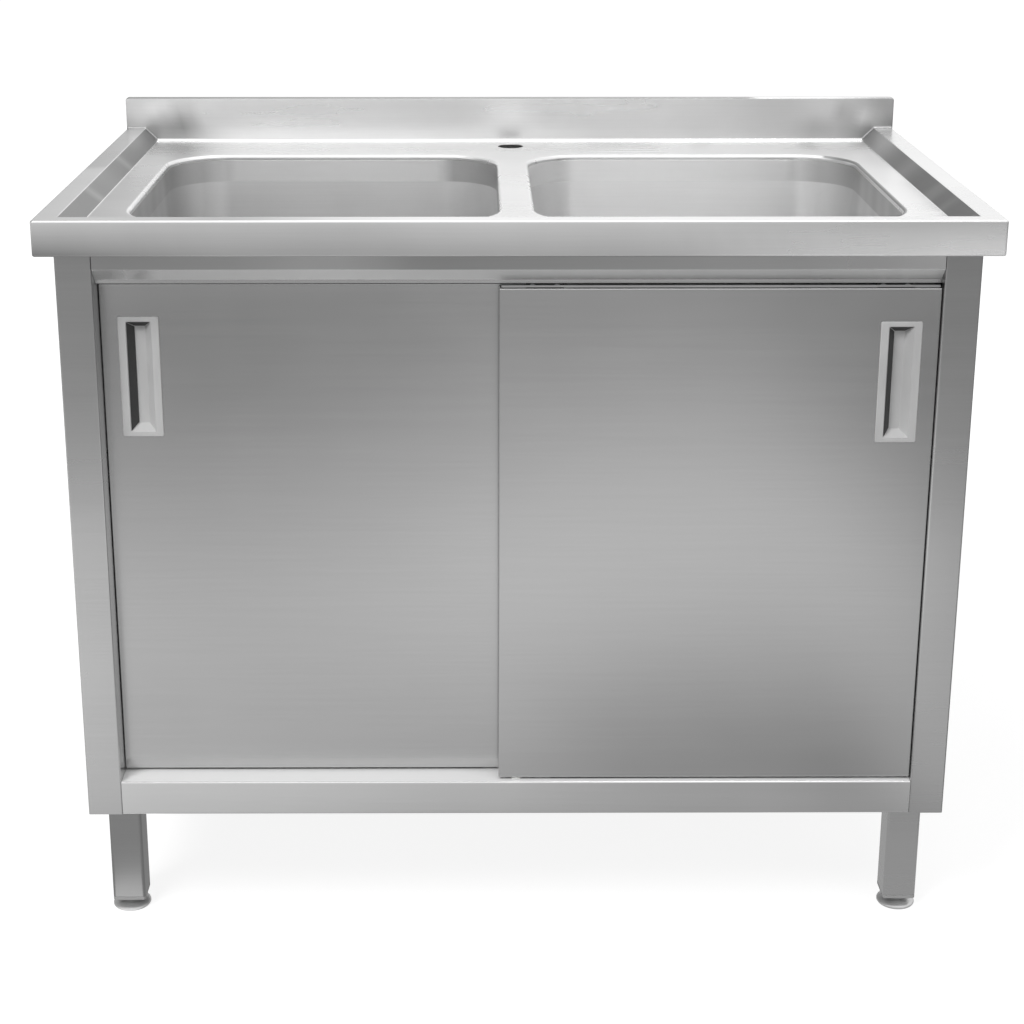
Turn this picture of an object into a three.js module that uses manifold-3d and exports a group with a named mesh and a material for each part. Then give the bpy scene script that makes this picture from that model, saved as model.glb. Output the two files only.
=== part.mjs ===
// A stainless steel sink unit: a pressed worktop with two welded bowls on a folded sheet cabinet,
// closed by a pair of top-hung doors that slide past each other on grooved rollers.
//
// Millimetres. +X is to the right seen from the front, -Y points at the user, +Z is up.
// The origin is on the floor under the middle of the worktop.

import * as THREE from 'three';
import { mergeVertices } from 'three/addons/utils/BufferGeometryUtils.js';
import Module from 'manifold-3d';

const wasm = await Module();
wasm.setup();

// ---------------------------------------------------------------------------------------------
// Driving dimensions
// ---------------------------------------------------------------------------------------------

const WIDTH = 1000;
const DEPTH = 600;
const RIM_HEIGHT = 850; // floor to the top of the worktop's rim
const FIT = 0.3; // gap left between pieces that touch

// Sheet gauges
const TOP_GAUGE = 1.2;
const BODY_GAUGE = 1.0;
const BOWL_GAUGE = 0.9;
const DOOR_GAUGE = 0.8;
const BRACKET_GAUGE = 1.5;
const BEND_RADIUS = 0.8; // inside radius of a folded edge

// Worktop
const APRON_HEIGHT = 38;
const APRON_RETURN = 12; // lip folded inwards under the apron
const RIM_SIDE = 24; // flat width of the raised rim at the sides
const RIM_FRONT = 20;
const RECESS_DROP = 16; // the rim falls this far, at 45 degrees, to the working plane
const WORKTOP_CORNER = 3;
const UPSTAND_HEIGHT = 40;
const UPSTAND_THICKNESS = 12;
const UPSTAND_CORNER = 4;
const TAP_HOLE = 32.5;
const TAP_SETBACK = 43; // from the upstand's face to the middle of the tap hole

// Bowls
const BOWL_WIDTH = 402;
const BOWL_LENGTH = 404; // front to back
const BOWL_DEPTH = 250;
const BOWL_GAP = 38; // bare worktop between the two bowls
const BOWL_FRONT = 75; // from the worktop's front to the bowl
const BOWL_CORNER = 67;
const BOWL_DRAFT = 3; // degrees
const BOWL_COVE = 38; // radius between wall and floor
const FLOOR_FALL = 5; // fall of the floor to the waste
const LIP_RADIUS = 4; // rolled edge of the opening
const LIP_NECK = 6; // depth of the opening's turned-down edge
const BOWL_FLANGE = 8;

// Waste fittings
const WASTE_HOLE = 52;
const WASTE_FLANGE = 86;
const WASTE_FLANGE_THICKNESS = 2.5;
const WASTE_EDGE = 1; // height of the flange's upright edge
const WASTE_SLOPE = 2.5; // run of the slope above that edge
const WASTE_SEAT = 3; // depth of the pressed seat in the floor
const SEAT_MARGIN = 2; // from the flange's edge to the seat's
const DISH_DEPTH = 2; // the strainer plate lies this far below the flange's top
const DISH_RIM = 3; // the dish starts this far outside the tail
const DISH_INSET = 2; // and is flat from this far inside it
const TAIL_OUTSIDE = 48;
const TAIL_BORE = 42;
const TAIL_LENGTH = 52;
const SEAL_THICKNESS = 3;
const NUT_THICKNESS = 12;
const NUT_ACROSS = 68;
const STRAINER_HOLE = 7;
const STRAINER_HOLES = 6;
const STRAINER_CIRCLE = 26;

// Cabinet
const SIDE_OVERHANG = 15;
const FRONT_OVERHANG = 33;
const BACK_SETBACK = 15;
const BODY_BOTTOM = 157; // floor to the cabinet's underside
const POST_WIDTH = 38.5;
const POST_DEPTH = 45;
const REAR_RETURN = 28;
const TOP_FLANGE = 32; // inward flange that the worktop rests on
const SHELF_HEIGHT = 40;
const SHELF_RETURN = 12;
const SHELF_SIDE_FOLD = 22;
const SHELF_STIFFENER_WIDTH = 60;
const SHELF_STIFFENER_HEIGHT = 28;
const STIFFENER_FOOT = 16;
const BACK_TOP_FLANGE = 18;
const SERVICE_WIDTH = 640; // cut-out in the back for the pipes
const SERVICE_HEIGHT = 300;
const SERVICE_SILL = 235; // shelf top to the cut-out
const SERVICE_CORNER = 20;

// Worktop braces
const BRACE_WIDTH = 16;
const BRACE_HEIGHT = 24;
const REAR_BRACE_WIDTH = 26;
const REAR_BRACE_SETBACK = 8; // behind the bowls' flanges

// Door tracks
const FASCIA_FLAT = 41.5; // upright part of the fascia, most of it behind the apron
const FASCIA_SLOPE = 16; // height and depth of the sloping lower part
const RIB_HEIGHT = 7.7; // upturned running edge
const RAIL_TOP_FLANGE = 21;
const REAR_TRACK_SETBACK = 23.8; // cabinet front to the rear track's web
const REAR_TRACK_DEPTH = 11.9;
const REAR_TRACK_FLANGE = 19;

// Doors
const DOOR_OVERLAP = 20; // a closed door reaches this far past the middle
const DOOR_THICKNESS = 12.5;
const DOOR_TOP_GAP = 6; // between the door and the rail above it
const DOOR_BOTTOM_GAP = 2.5;
const DOOR_SIDE_GAP = 0.5;
const FRONT_DOOR_SETBACK = 6; // cabinet front to the front door's face
const DOOR_PITCH = 24; // front door's face to the rear door's face
const GUIDE_SLOT = 8;
const GUIDE_SLOT_END = 4; // the slot stops this far from the door's ends

// Handles
const HANDLE_WIDTH = 44;
const HANDLE_HEIGHT = 134;
const HANDLE_PROUD = 1.6;
const HANDLE_BEVEL = 1.1;
const HANDLE_FRAME_SIDE = 8.7;
const HANDLE_FRAME_END = 5.5;
const HANDLE_WALL = 1.4;
const HANDLE_SLOPE_SIDE = 7.6; // how far the pocket's walls lean in
const HANDLE_SLOPE_END = 7;
const HANDLE_POCKET = 9.6; // depth of the pocket below the door's face
const HANDLE_CORNER = 2;
const HANDLE_LAP = 2; // the frame hides the edge of the door's opening by this much
const HANDLE_INSET = 18.5; // from the door's closing edge
const HANDLE_TOP = 36; // from the door's top edge

// Rollers and hangers
const ROLLER_WIDTH = 6;
const ROLLER_GROOVE = 7; // running radius
const ROLLER_RADIUS = 9.2;
const GROOVE_WIDTH = 1.8;
const GROOVE_FLARE = 0.5; // the groove is this much wider, each side, at the rim
const ROLLER_CHAMFER = 0.6;
const AXLE_DIAMETER = 4;
const AXLE_HEAD = 8;
const AXLE_HEAD_THICKNESS = 1.2;
const AXLE_RIVET = 0.4; // the pin's riveted end stands this far behind the hanger plate
const ROLLER_SIDE_GAP = 0.8; // roller to hanger plate
const HANGER_WIDTH = 40;
const HANGER_NECK = 22;
const HANGER_INSET = 48; // hanger's middle from the door's edge
const HANGER_FOOT = 11.5;
const HANGER_NECK_DROP = 2; // the neck starts this far below the axle
const HANGER_CHAMFER = 5;

// Bottom guides
const GUIDE_BASE = 14;
const GUIDE_BASE_THICKNESS = 1.9;
const GUIDE_PIN = 7;
const GUIDE_PIN_HEIGHT = 13;
const GUIDE_PIN_CHAMFER = 1.2;
const GUIDE_BASE_SLOPE = 0.9; // the base's edge leans in by this much
const GUIDE_BASE_EDGE = [0.4, 0.5]; // run and rise of the base's lower edge

// Legs and feet
const LEG_SIZE = 38;
const LEG_GAUGE = 1.5;
const LEG_BOTTOM = 18; // floor to the tube's lower end
const LEG_INSET_SIDE = 10.5; // cabinet side to the leg
const LEG_PLATE_GAP = 1; // front post's return, or the back panel, to a leg's plate
const LEG_CORNER = 4;
const LEG_PLATE = 55;
const LEG_PLATE_THICKNESS = 3;
const CAP_THICKNESS = 4;
const CAP_PLUG = 16;
const CAP_WALL = 2;
const STEM_DIAMETER = 10;
const STEM_LENGTH = 46;
const FOOT_DIAMETER = 44;
const FOOT_PAD = 3; // height of the pad's upright edge
const FOOT_BOSS = 20;
const FOOT_EDGE = 1; // chamfer under the pad
const FOOT_RIM = [3, 2.5]; // run and rise of the slope at the pad's edge
const FOOT_FLARE = [4, 4.5]; // from the boss, and above the pad's edge, to the foot of its flare
const FOOT_CROWN = 6; // height of the flare's end above the pad's edge
const STEM_CHAMFER = 1.5;

// Facets
const BEND_STEPS = 2;
const CORNER_STEPS = 6;
const ROUND_STEPS = 24;

// ---------------------------------------------------------------------------------------------
// Places worked out from the dimensions
// ---------------------------------------------------------------------------------------------

const RIGHT = WIDTH / 2;
const FRONT = -DEPTH / 2;
const BACK = DEPTH / 2;
const UPSTAND_FACE = BACK - UPSTAND_THICKNESS;
const RECESS_Z = RIM_HEIGHT - RECESS_DROP;
const APRON_BOTTOM = RIM_HEIGHT - APRON_HEIGHT;
const SEAT_Z = RECESS_Z - TOP_GAUGE - FIT; // what the worktop rests on reaches up to here

const BODY_SIDE = RIGHT - SIDE_OVERHANG;
const BODY_FRONT = FRONT + FRONT_OVERHANG;
const BODY_BACK = BACK - BACK_SETBACK;
const POST_INNER = BODY_SIDE - POST_WIDTH;
const SHELF_TOP = BODY_BOTTOM + SHELF_HEIGHT;
const PANEL_INSIDE = BODY_SIDE - BODY_GAUGE - FIT;
const BACK_PANEL_REAR = BODY_BACK - BODY_GAUGE - FIT;

const BOWL_Y = FRONT + BOWL_FRONT + BOWL_LENGTH / 2;
const BOWL_X = (BOWL_GAP + BOWL_WIDTH) / 2;
const BOWL_TOP = RECESS_Z - LIP_NECK - FIT;
const BOWL_FLOOR = RECESS_Z - BOWL_DEPTH;
const WASTE_Z = BOWL_FLOOR - FLOOR_FALL - WASTE_SEAT; // upper face of the pressed seat

const FASCIA_KNEE = SEAT_Z - FASCIA_FLAT;
const RAIL_BOTTOM = FASCIA_KNEE - FASCIA_SLOPE;
const RIB_TOP = RAIL_BOTTOM + RIB_HEIGHT;
const FRONT_RIB_REAR = BODY_FRONT + FASCIA_SLOPE;
const REAR_TRACK_WEB = BODY_FRONT + REAR_TRACK_SETBACK;
const REAR_RIB_REAR = REAR_TRACK_WEB + REAR_TRACK_DEPTH;
const AXLE_Z = RIB_TOP + FIT + ROLLER_GROOVE;

const DOOR_TOP = RAIL_BOTTOM - DOOR_TOP_GAP;
const DOOR_BOTTOM = SHELF_TOP + DOOR_BOTTOM_GAP;
const DOOR_CLOSED = POST_INNER - DOOR_SIDE_GAP; // a closed door's outer edge
const DOOR_WIDTH = DOOR_CLOSED + DOOR_OVERLAP;
const HANGER_TOP = AXLE_Z + ROLLER_RADIUS;
const HANDLE_BODY_INSET = FIT + DOOR_GAUGE + HANDLE_LAP; // behind its frame the handle is this much smaller

const FRONT_DOOR = {
  name: 'front_door',
  side: 1, // closed at the right
  face: BODY_FRONT + FRONT_DOOR_SETBACK,
  rollerY: FRONT_RIB_REAR - BODY_GAUGE / 2,
};
const REAR_DOOR = {
  name: 'rear_door',
  side: -1, // closed at the left
  face: BODY_FRONT + FRONT_DOOR_SETBACK + DOOR_PITCH,
  rollerY: REAR_RIB_REAR - BODY_GAUGE / 2,
};

const SIDES = [['left', -1], ['right', 1]];
const ENDS = [['front', -1], ['rear', 1]];

// ---------------------------------------------------------------------------------------------
// Finishes
// ---------------------------------------------------------------------------------------------

function finish(color, roughness, metalness) {
  return () => new THREE.MeshStandardMaterial({ color, roughness, metalness });
}

const satinSteel = finish(0xc9cacb, 0.36, 0.95);
const brushedSteel = finish(0xb4b5b6, 0.42, 0.95);
const bowlSteel = finish(0xc4c5c6, 0.3, 0.95);
const millSteel = finish(0xa8a9aa, 0.5, 0.9);
const handleGrey = finish(0xb3b4b5, 0.55, 0.25);
const nylonWhite = finish(0xdcdcd8, 0.5, 0.0);
const capGrey = finish(0x9b9c9d, 0.6, 0.05);
const blackRubber = finish(0x222222, 0.8, 0.0);
const chromedBrass = finish(0xd8d9da, 0.15, 1.0);

// ---------------------------------------------------------------------------------------------
// Making solids
// ---------------------------------------------------------------------------------------------

/** A closed geometry as a solid that can be cut and joined. */
function solid(geometry) {
  const bare = geometry.clone();
  bare.deleteAttribute('normal');
  bare.deleteAttribute('uv');
  const welded = mergeVertices(bare, 1e-4);
  return new wasm.Manifold(new wasm.Mesh({
    numProp: 3,
    vertProperties: new Float32Array(welded.attributes.position.array),
    triVerts: new Uint32Array(welded.index.array),
  }));
}

/** A solid back as a geometry. */
function geometryOf(manifold) {
  const { vertProperties, triVerts } = manifold.getMesh();
  const geometry = new THREE.BufferGeometry();
  geometry.setAttribute('position', new THREE.BufferAttribute(vertProperties, 3));
  geometry.setIndex(new THREE.BufferAttribute(triVerts, 1));
  geometry.computeVertexNormals();
  return geometry;
}

/** The outline extruded between two heights along the axis; it is drawn in (y,z), (x,z) or (x,y). */
function extrude(outline, axis, from, to) {
  const shape = new THREE.Shape(outline.map(([a, b]) => new THREE.Vector2(a, b)));
  const geometry = new THREE.ExtrudeGeometry(shape, { depth: to - from, bevelEnabled: false });
  const turn = new THREE.Matrix4();
  if (axis === 'x') turn.set(0, 0, 1, from, 1, 0, 0, 0, 0, 1, 0, 0, 0, 0, 0, 1);
  if (axis === 'y') turn.set(1, 0, 0, 0, 0, 0, -1, to, 0, 1, 0, 0, 0, 0, 0, 1);
  if (axis === 'z') turn.makeTranslation(0, 0, from);
  return solid(geometry.applyMatrix4(turn));
}

/** A block between two corners. */
function block([x0, x1], [y0, y1], [z0, z1]) {
  const geometry = new THREE.BoxGeometry(x1 - x0, y1 - y0, z1 - z0);
  return solid(geometry.translate((x0 + x1) / 2, (y0 + y1) / 2, (z0 + z1) / 2));
}

/** A profile of (radius, height) points turned about an upright axis through (x, y). */
function turned(profile, x, y, steps = ROUND_STEPS) {
  const geometry = new THREE.LatheGeometry(profile.map(([r, z]) => new THREE.Vector2(r, z)), steps);
  return solid(geometry.rotateX(Math.PI / 2).translate(x, y, 0));
}

/** A cylinder along the axis, from one height to the other, through the two other coordinates. */
function rod(axis, radius, [a, b], from, to, steps = ROUND_STEPS) {
  const circle = Array.from({ length: steps }, (_, i) => {
    const angle = (2 * Math.PI * i) / steps;
    return [a + radius * Math.cos(angle), b + radius * Math.sin(angle)];
  });
  return extrude(circle, axis, from, to);
}

/** Outline of a rectangle with round corners, anticlockwise, from its half sizes. */
function roundedRectangle(halfA, halfB, radius, [a, b] = [0, 0], steps = CORNER_STEPS) {
  const points = [];
  for (let corner = 0; corner < 4; corner += 1) {
    const signA = corner === 0 || corner === 3 ? 1 : -1;
    const signB = corner < 2 ? 1 : -1;
    for (let step = 0; step <= steps; step += 1) {
      const angle = (Math.PI / 2) * (corner + step / steps);
      points.push([
        a + signA * (halfA - radius) + radius * Math.cos(angle),
        b + signB * (halfB - radius) + radius * Math.sin(angle),
      ]);
    }
  }
  return points;
}

/**
 * A solid through a stack of like outlines, each with as many points, its ends closed by fans.
 * `place` turns a point of an outline and its level into x, y and z.
 */
function loft(levels, place = ([a, b], level) => [a, b, level]) {
  const count = levels[0].outline.length;
  const positions = [];
  const index = [];
  levels.forEach(({ outline, level }) => outline.forEach((p) => positions.push(...place(p, level))));
  for (let ring = 0; ring < levels.length - 1; ring += 1) {
    for (let i = 0; i < count; i += 1) {
      const [p, q] = [ring * count + i, ring * count + ((i + 1) % count)];
      index.push(p, q, q + count, p, q + count, p + count);
    }
  }
  [[0, false], [levels.length - 1, true]].forEach(([ring, top]) => {
    const { outline, level } = levels[ring];
    const middle = outline.reduce(([a, b], p) => [a + p[0] / count, b + p[1] / count], [0, 0]);
    const centre = positions.length / 3;
    positions.push(...place(middle, level));
    for (let i = 0; i < count; i += 1) {
      const [p, q] = [ring * count + i, ring * count + ((i + 1) % count)];
      index.push(centre, top ? p : q, top ? q : p);
    }
  });
  const geometry = new THREE.BufferGeometry();
  geometry.setAttribute('position', new THREE.Float32BufferAttribute(positions, 3));
  geometry.setIndex(index);
  return solid(geometry);
}

/**
 * Section of a folded sheet. The path runs along one face, corner to corner, and the metal lies to
 * its left. Each corner becomes a bend with the given inside radius.
 */
function foldedSection(path, gauge, bend = BEND_RADIUS) {
  const face = [];
  const other = [];
  const direction = (i) => {
    const [dx, dy] = [path[i + 1][0] - path[i][0], path[i + 1][1] - path[i][1]];
    const length = Math.hypot(dx, dy);
    return [dx / length, dy / length];
  };
  const put = ([x, y], [nx, ny]) => {
    face.push([x, y]);
    other.push([x + gauge * nx, y + gauge * ny]);
  };
  path.forEach((point, i) => {
    if (i === 0 || i === path.length - 1) {
      const [dx, dy] = direction(i === 0 ? 0 : i - 1);
      put(point, [-dy, dx]);
      return;
    }
    const [ax, ay] = direction(i - 1);
    const [bx, by] = direction(i);
    const turn = Math.atan2(ax * by - ay * bx, ax * bx + ay * by);
    const radius = turn > 0 ? bend + gauge : bend;
    const reach = radius * Math.tan(Math.abs(turn) / 2);
    const sign = Math.sign(turn);
    const centre = [point[0] - ax * reach - sign * radius * ay, point[1] - ay * reach + sign * radius * ax];
    for (let step = 0; step <= BEND_STEPS; step += 1) {
      const angle = Math.atan2(ax, -ay) + (turn * step) / BEND_STEPS;
      const normal = [Math.cos(angle), Math.sin(angle)];
      put([centre[0] - sign * radius * normal[0], centre[1] - sign * radius * normal[1]], normal);
    }
  });
  return [...face, ...other.reverse()];
}

/** The outline's mirror image across the second coordinate's axis, if side is -1. */
function sided(outline, side) {
  return outline.map(([a, b]) => [side * a, b]);
}

/** The interval from one value to another, mirrored if side is -1. */
function span(side, a, b) {
  return side > 0 ? [a, b] : [-b, -a];
}

// ---------------------------------------------------------------------------------------------
// Assembly
// ---------------------------------------------------------------------------------------------

const sinkUnit = new THREE.Group();
sinkUnit.name = 'sink_unit';

function add(name, piece, material) {
  const mesh = new THREE.Mesh(geometryOf(piece), material());
  mesh.name = name;
  sinkUnit.add(mesh);
}

// ---------------------------------------------------------------------------------------------
// Worktop: one pressed sheet with an apron, a raised rim, an upstand and two lipped openings
// ---------------------------------------------------------------------------------------------

/** The opening of a bowl at an offset from its wall. */
function bowlOutline(side, offset) {
  return roundedRectangle(
    BOWL_WIDTH / 2 + offset,
    BOWL_LENGTH / 2 + offset,
    BOWL_CORNER + offset,
    [side * BOWL_X, BOWL_Y],
  );
}

/** The recess, or its underside where the sheet is `gauge` thick below it. */
function recess(gauge) {
  const shift = gauge * Math.tan(Math.PI / 8); // a 45-degree slope's mitre
  const above = UPSTAND_HEIGHT;
  const rearEdge = UPSTAND_FACE + gauge;
  const level = (z, out) => {
    const x = RIGHT - RIM_SIDE + out;
    const y = FRONT + RIM_FRONT - out;
    return { level: z, outline: [[-x, y], [x, y], [x, rearEdge], [-x, rearEdge]] };
  };
  return loft([
    level(RECESS_Z - gauge, shift - RECESS_DROP),
    level(RIM_HEIGHT - gauge, shift),
    level(RIM_HEIGHT - gauge + above, shift + gauge),
  ]);
}

function worktop() {
  const middleY = (FRONT + BACK) / 2;
  const tray = (inset, bottom, top) => {
    const corner = Math.max(WORKTOP_CORNER - inset, FIT);
    const outline = roundedRectangle(RIGHT - inset, DEPTH / 2 - inset, corner, [0, middleY], 3);
    return extrude(outline, 'z', bottom, top);
  };
  const upstand = (inset, bottom) => {
    const top = RIM_HEIGHT + UPSTAND_HEIGHT - inset;
    const outline = roundedRectangle(
      RIGHT - inset, (top - bottom) / 2, UPSTAND_CORNER - inset, [0, (top + bottom) / 2], 4,
    );
    return extrude(outline, 'y', UPSTAND_FACE + inset, BACK - inset);
  };
  const g = TOP_GAUGE;
  const outside = tray(0, APRON_BOTTOM, RIM_HEIGHT)
    .subtract(recess(0))
    .add(upstand(0, APRON_BOTTOM + UPSTAND_CORNER));
  const inside = tray(g, APRON_BOTTOM + g, RIM_HEIGHT - g)
    .subtract(recess(g))
    .add(upstand(g, APRON_BOTTOM + UPSTAND_CORNER + g))
    .add(tray(APRON_RETURN, APRON_BOTTOM - g, APRON_BOTTOM + 2 * g));
  let sheet = outside.subtract(inside);
  SIDES.forEach(([, side]) => {
    sheet = sheet.add(lipOutside(side)).subtract(lipInside(side));
  });
  const hole = rod('z', TAP_HOLE / 2, [0, UPSTAND_FACE - TAP_SETBACK], RECESS_Z - 2 * g, RECESS_Z + g);
  return sheet.subtract(hole);
}

/** The opening's turned-down edge as a full body: its outer face follows the rolled edge below. */
function lipOutside(side) {
  const [g, r] = [TOP_GAUGE, LIP_RADIUS];
  const levels = [{ level: RECESS_Z - LIP_NECK, outline: bowlOutline(side, g) }];
  for (let step = 0; step <= 3; step += 1) {
    const angle = (Math.PI / 2) * (step / 3);
    levels.push({
      level: RECESS_Z - r + (r - g) * Math.sin(angle),
      outline: bowlOutline(side, r - (r - g) * Math.cos(angle)),
    });
  }
  levels.push({ level: RECESS_Z - g / 2, outline: bowlOutline(side, r) });
  return loft(levels);
}

/** What the opening takes out of the sheet: straight up the neck, then out round the rolled edge. */
function lipInside(side) {
  const r = LIP_RADIUS;
  const levels = [{ level: RECESS_Z - LIP_NECK - FIT, outline: bowlOutline(side, 0) }];
  for (let step = 0; step <= 4; step += 1) {
    const angle = (Math.PI / 2) * (step / 4);
    levels.push({
      level: RECESS_Z - r + r * Math.sin(angle),
      outline: bowlOutline(side, r - r * Math.cos(angle)),
    });
  }
  levels.push({ level: RECESS_Z + r, outline: bowlOutline(side, r) });
  return loft(levels);
}

add('worktop', worktop(), satinSteel);

// ---------------------------------------------------------------------------------------------
// Bowls: drafted walls, a coved floor that falls to a pressed seat for the waste
// ---------------------------------------------------------------------------------------------

/** The bowl's inner or, with a gauge, its outer surface as a full body from the seat to the top. */
function bowlBody(side, gauge, top) {
  const draft = Math.tan(THREE.MathUtils.degToRad(BOWL_DRAFT));
  const coveTop = BOWL_FLOOR + BOWL_COVE;
  const lean = (BOWL_TOP - coveTop) * draft;
  const levels = [];
  const circle = (radius, level) => levels.push({
    level,
    outline: roundedRectangle(radius, radius, radius, [side * BOWL_X, BOWL_Y]),
  });
  const seat = WASTE_FLANGE / 2 + SEAT_MARGIN;
  circle(seat + gauge, WASTE_Z - gauge);
  circle(seat + gauge, WASTE_Z + WASTE_SEAT - gauge);
  for (let step = 0; step <= 4; step += 1) {
    const angle = (Math.PI / 2) * (step / 4);
    levels.push({
      level: coveTop - (BOWL_COVE + gauge) * Math.cos(angle),
      outline: bowlOutline(side, gauge - lean - (BOWL_COVE + gauge) * (1 - Math.sin(angle))),
    });
  }
  levels.push({ level: BOWL_TOP, outline: bowlOutline(side, gauge) });
  if (top > BOWL_TOP) levels.push({ level: top, outline: bowlOutline(side, gauge) });
  return loft(levels);
}

function bowl(side) {
  const flange = extrude(bowlOutline(side, BOWL_GAUGE + BOWL_FLANGE), 'z', BOWL_TOP - BOWL_GAUGE, BOWL_TOP);
  const middle = [side * BOWL_X, BOWL_Y];
  const waste = rod('z', WASTE_HOLE / 2, middle, WASTE_Z - 2 * BOWL_GAUGE, WASTE_Z + BOWL_GAUGE);
  return bowlBody(side, BOWL_GAUGE, BOWL_TOP)
    .add(flange)
    .subtract(bowlBody(side, 0, BOWL_TOP + BOWL_GAUGE))
    .subtract(waste);
}

// ---------------------------------------------------------------------------------------------
// Waste fittings: a flanged tail with a strainer plate, a seal and a back nut under the bowl
// ---------------------------------------------------------------------------------------------

const SEAT_UNDERSIDE = WASTE_Z - BOWL_GAUGE;
const SEAL_TOP = SEAT_UNDERSIDE - FIT;
const NUT_TOP = SEAL_TOP - SEAL_THICKNESS - FIT;

function wasteBody(x, y) {
  const bottom = WASTE_Z + FIT;
  const top = bottom + WASTE_FLANGE_THICKNESS;
  const rim = WASTE_FLANGE / 2;
  const tail = WASTE_Z - TAIL_LENGTH;
  let body = turned([
    [0, bottom - 1], [TAIL_BORE / 2, bottom - 1], [TAIL_BORE / 2, tail], [TAIL_OUTSIDE / 2, tail],
    [TAIL_OUTSIDE / 2, bottom], [rim, bottom], [rim, bottom + WASTE_EDGE], [rim - WASTE_SLOPE, top],
    [TAIL_OUTSIDE / 2 + DISH_RIM, top], [TAIL_OUTSIDE / 2 - DISH_INSET, top - DISH_DEPTH],
    [0, top - DISH_DEPTH],
  ], x, y);
  for (let i = 0; i < STRAINER_HOLES; i += 1) {
    const angle = (2 * Math.PI * i) / STRAINER_HOLES;
    const at = [x + (STRAINER_CIRCLE / 2) * Math.cos(angle), y + (STRAINER_CIRCLE / 2) * Math.sin(angle)];
    body = body.subtract(rod('z', STRAINER_HOLE / 2, at, bottom - 2, top, 12));
  }
  return body.subtract(rod('z', STRAINER_HOLE / 2, [x, y], bottom - 2, top, 12));
}

function ring(x, y, outside, bore, bottom, top, steps) {
  return rod('z', outside / 2, [x, y], bottom, top, steps)
    .subtract(rod('z', bore / 2, [x, y], bottom - 1, top + 1));
}

SIDES.forEach(([word, side]) => {
  const [x, y] = [side * BOWL_X, BOWL_Y];
  const bore = TAIL_OUTSIDE + 2 * FIT;
  add(`bowl_${word}`, bowl(side), bowlSteel);
  add(`waste_body_${word}`, wasteBody(x, y), chromedBrass);
  add(`waste_seal_${word}`, ring(x, y, WASTE_FLANGE, bore, SEAL_TOP - SEAL_THICKNESS, SEAL_TOP), blackRubber);
  add(`waste_nut_${word}`, ring(x, y, NUT_ACROSS, bore, NUT_TOP - NUT_THICKNESS, NUT_TOP, 8), chromedBrass);
});

// ---------------------------------------------------------------------------------------------
// Cabinet shell
// ---------------------------------------------------------------------------------------------

/** Side panel, folded in plan: the front post's return and face, the side, the rear return. */
function sidePanel(side) {
  const plan = foldedSection([
    [POST_INNER, BODY_FRONT + POST_DEPTH],
    [POST_INNER, BODY_FRONT],
    [BODY_SIDE, BODY_FRONT],
    [BODY_SIDE, BODY_BACK],
    [BODY_SIDE - REAR_RETURN, BODY_BACK],
  ], BODY_GAUGE);
  const flange = block(
    span(side, BODY_SIDE - TOP_FLANGE, BODY_SIDE - BODY_GAUGE / 2),
    [BODY_FRONT + POST_DEPTH + FIT, BODY_BACK - BODY_GAUGE - FIT],
    [SEAT_Z - BODY_GAUGE, SEAT_Z],
  );
  return extrude(sided(plan, side), 'z', BODY_BOTTOM, SEAT_Z).add(flange);
}

/** Back panel with folded top and bottom edges and a cut-out for the pipes. */
function backPanel() {
  const section = foldedSection([
    [BACK_PANEL_REAR - BACK_TOP_FLANGE, BODY_BOTTOM],
    [BACK_PANEL_REAR, BODY_BOTTOM],
    [BACK_PANEL_REAR, SEAT_Z - BODY_GAUGE - FIT],
    [BACK_PANEL_REAR - BACK_TOP_FLANGE, SEAT_Z - BODY_GAUGE - FIT],
  ], BODY_GAUGE);
  const sill = SHELF_TOP + SERVICE_SILL;
  const opening = roundedRectangle(
    SERVICE_WIDTH / 2, SERVICE_HEIGHT / 2, SERVICE_CORNER, [0, sill + SERVICE_HEIGHT / 2], 4,
  );
  const width = PANEL_INSIDE;
  return extrude(section, 'x', -width, width)
    .subtract(extrude(opening, 'y', BACK_PANEL_REAR - 2 * BODY_GAUGE, BACK_PANEL_REAR + BODY_GAUGE));
}

/** Bottom shelf: a tray turned down all round, notched behind the front posts. */
function bottomShelf() {
  const rear = BACK_PANEL_REAR - BODY_GAUGE - FIT;
  const lift = BODY_BOTTOM + BODY_GAUGE + FIT; // the rear fold stands on the back panel's lower edge
  const section = foldedSection([
    [rear, lift],
    [rear, SHELF_TOP],
    [BODY_FRONT, SHELF_TOP],
    [BODY_FRONT, BODY_BOTTOM],
    [BODY_FRONT + SHELF_RETURN, BODY_BOTTOM],
  ], BODY_GAUGE);
  let shelf = extrude(section, 'x', -PANEL_INSIDE, PANEL_INSIDE);
  const notchRear = BODY_FRONT + POST_DEPTH + FIT;
  SIDES.forEach(([, side]) => {
    const notch = block(
      span(side, POST_INNER - FIT, BODY_SIDE),
      [BODY_FRONT - 1, notchRear],
      [BODY_BOTTOM - 1, SHELF_TOP + 1],
    );
    const fold = block(
      span(side, PANEL_INSIDE - BODY_GAUGE, PANEL_INSIDE),
      [notchRear, rear],
      [SHELF_TOP - SHELF_SIDE_FOLD, SHELF_TOP - BODY_GAUGE / 2],
    );
    shelf = shelf.subtract(notch).add(fold);
  });
  return shelf;
}

/** A top-hat channel: two feet, two webs and a crown, open side up or down by its sign. */
function topHat(width, height, foot, base, up) {
  return foldedSection([
    [width / 2 + foot, base],
    [width / 2, base],
    [width / 2, base + up * height],
    [-width / 2, base + up * height],
    [-width / 2, base],
    [-width / 2 - foot, base],
  ], BODY_GAUGE);
}

SIDES.forEach(([word, side]) => add(`side_panel_${word}`, sidePanel(side), brushedSteel));
add('back_panel', backPanel(), millSteel);
add('bottom_shelf', bottomShelf(), brushedSteel);

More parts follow.
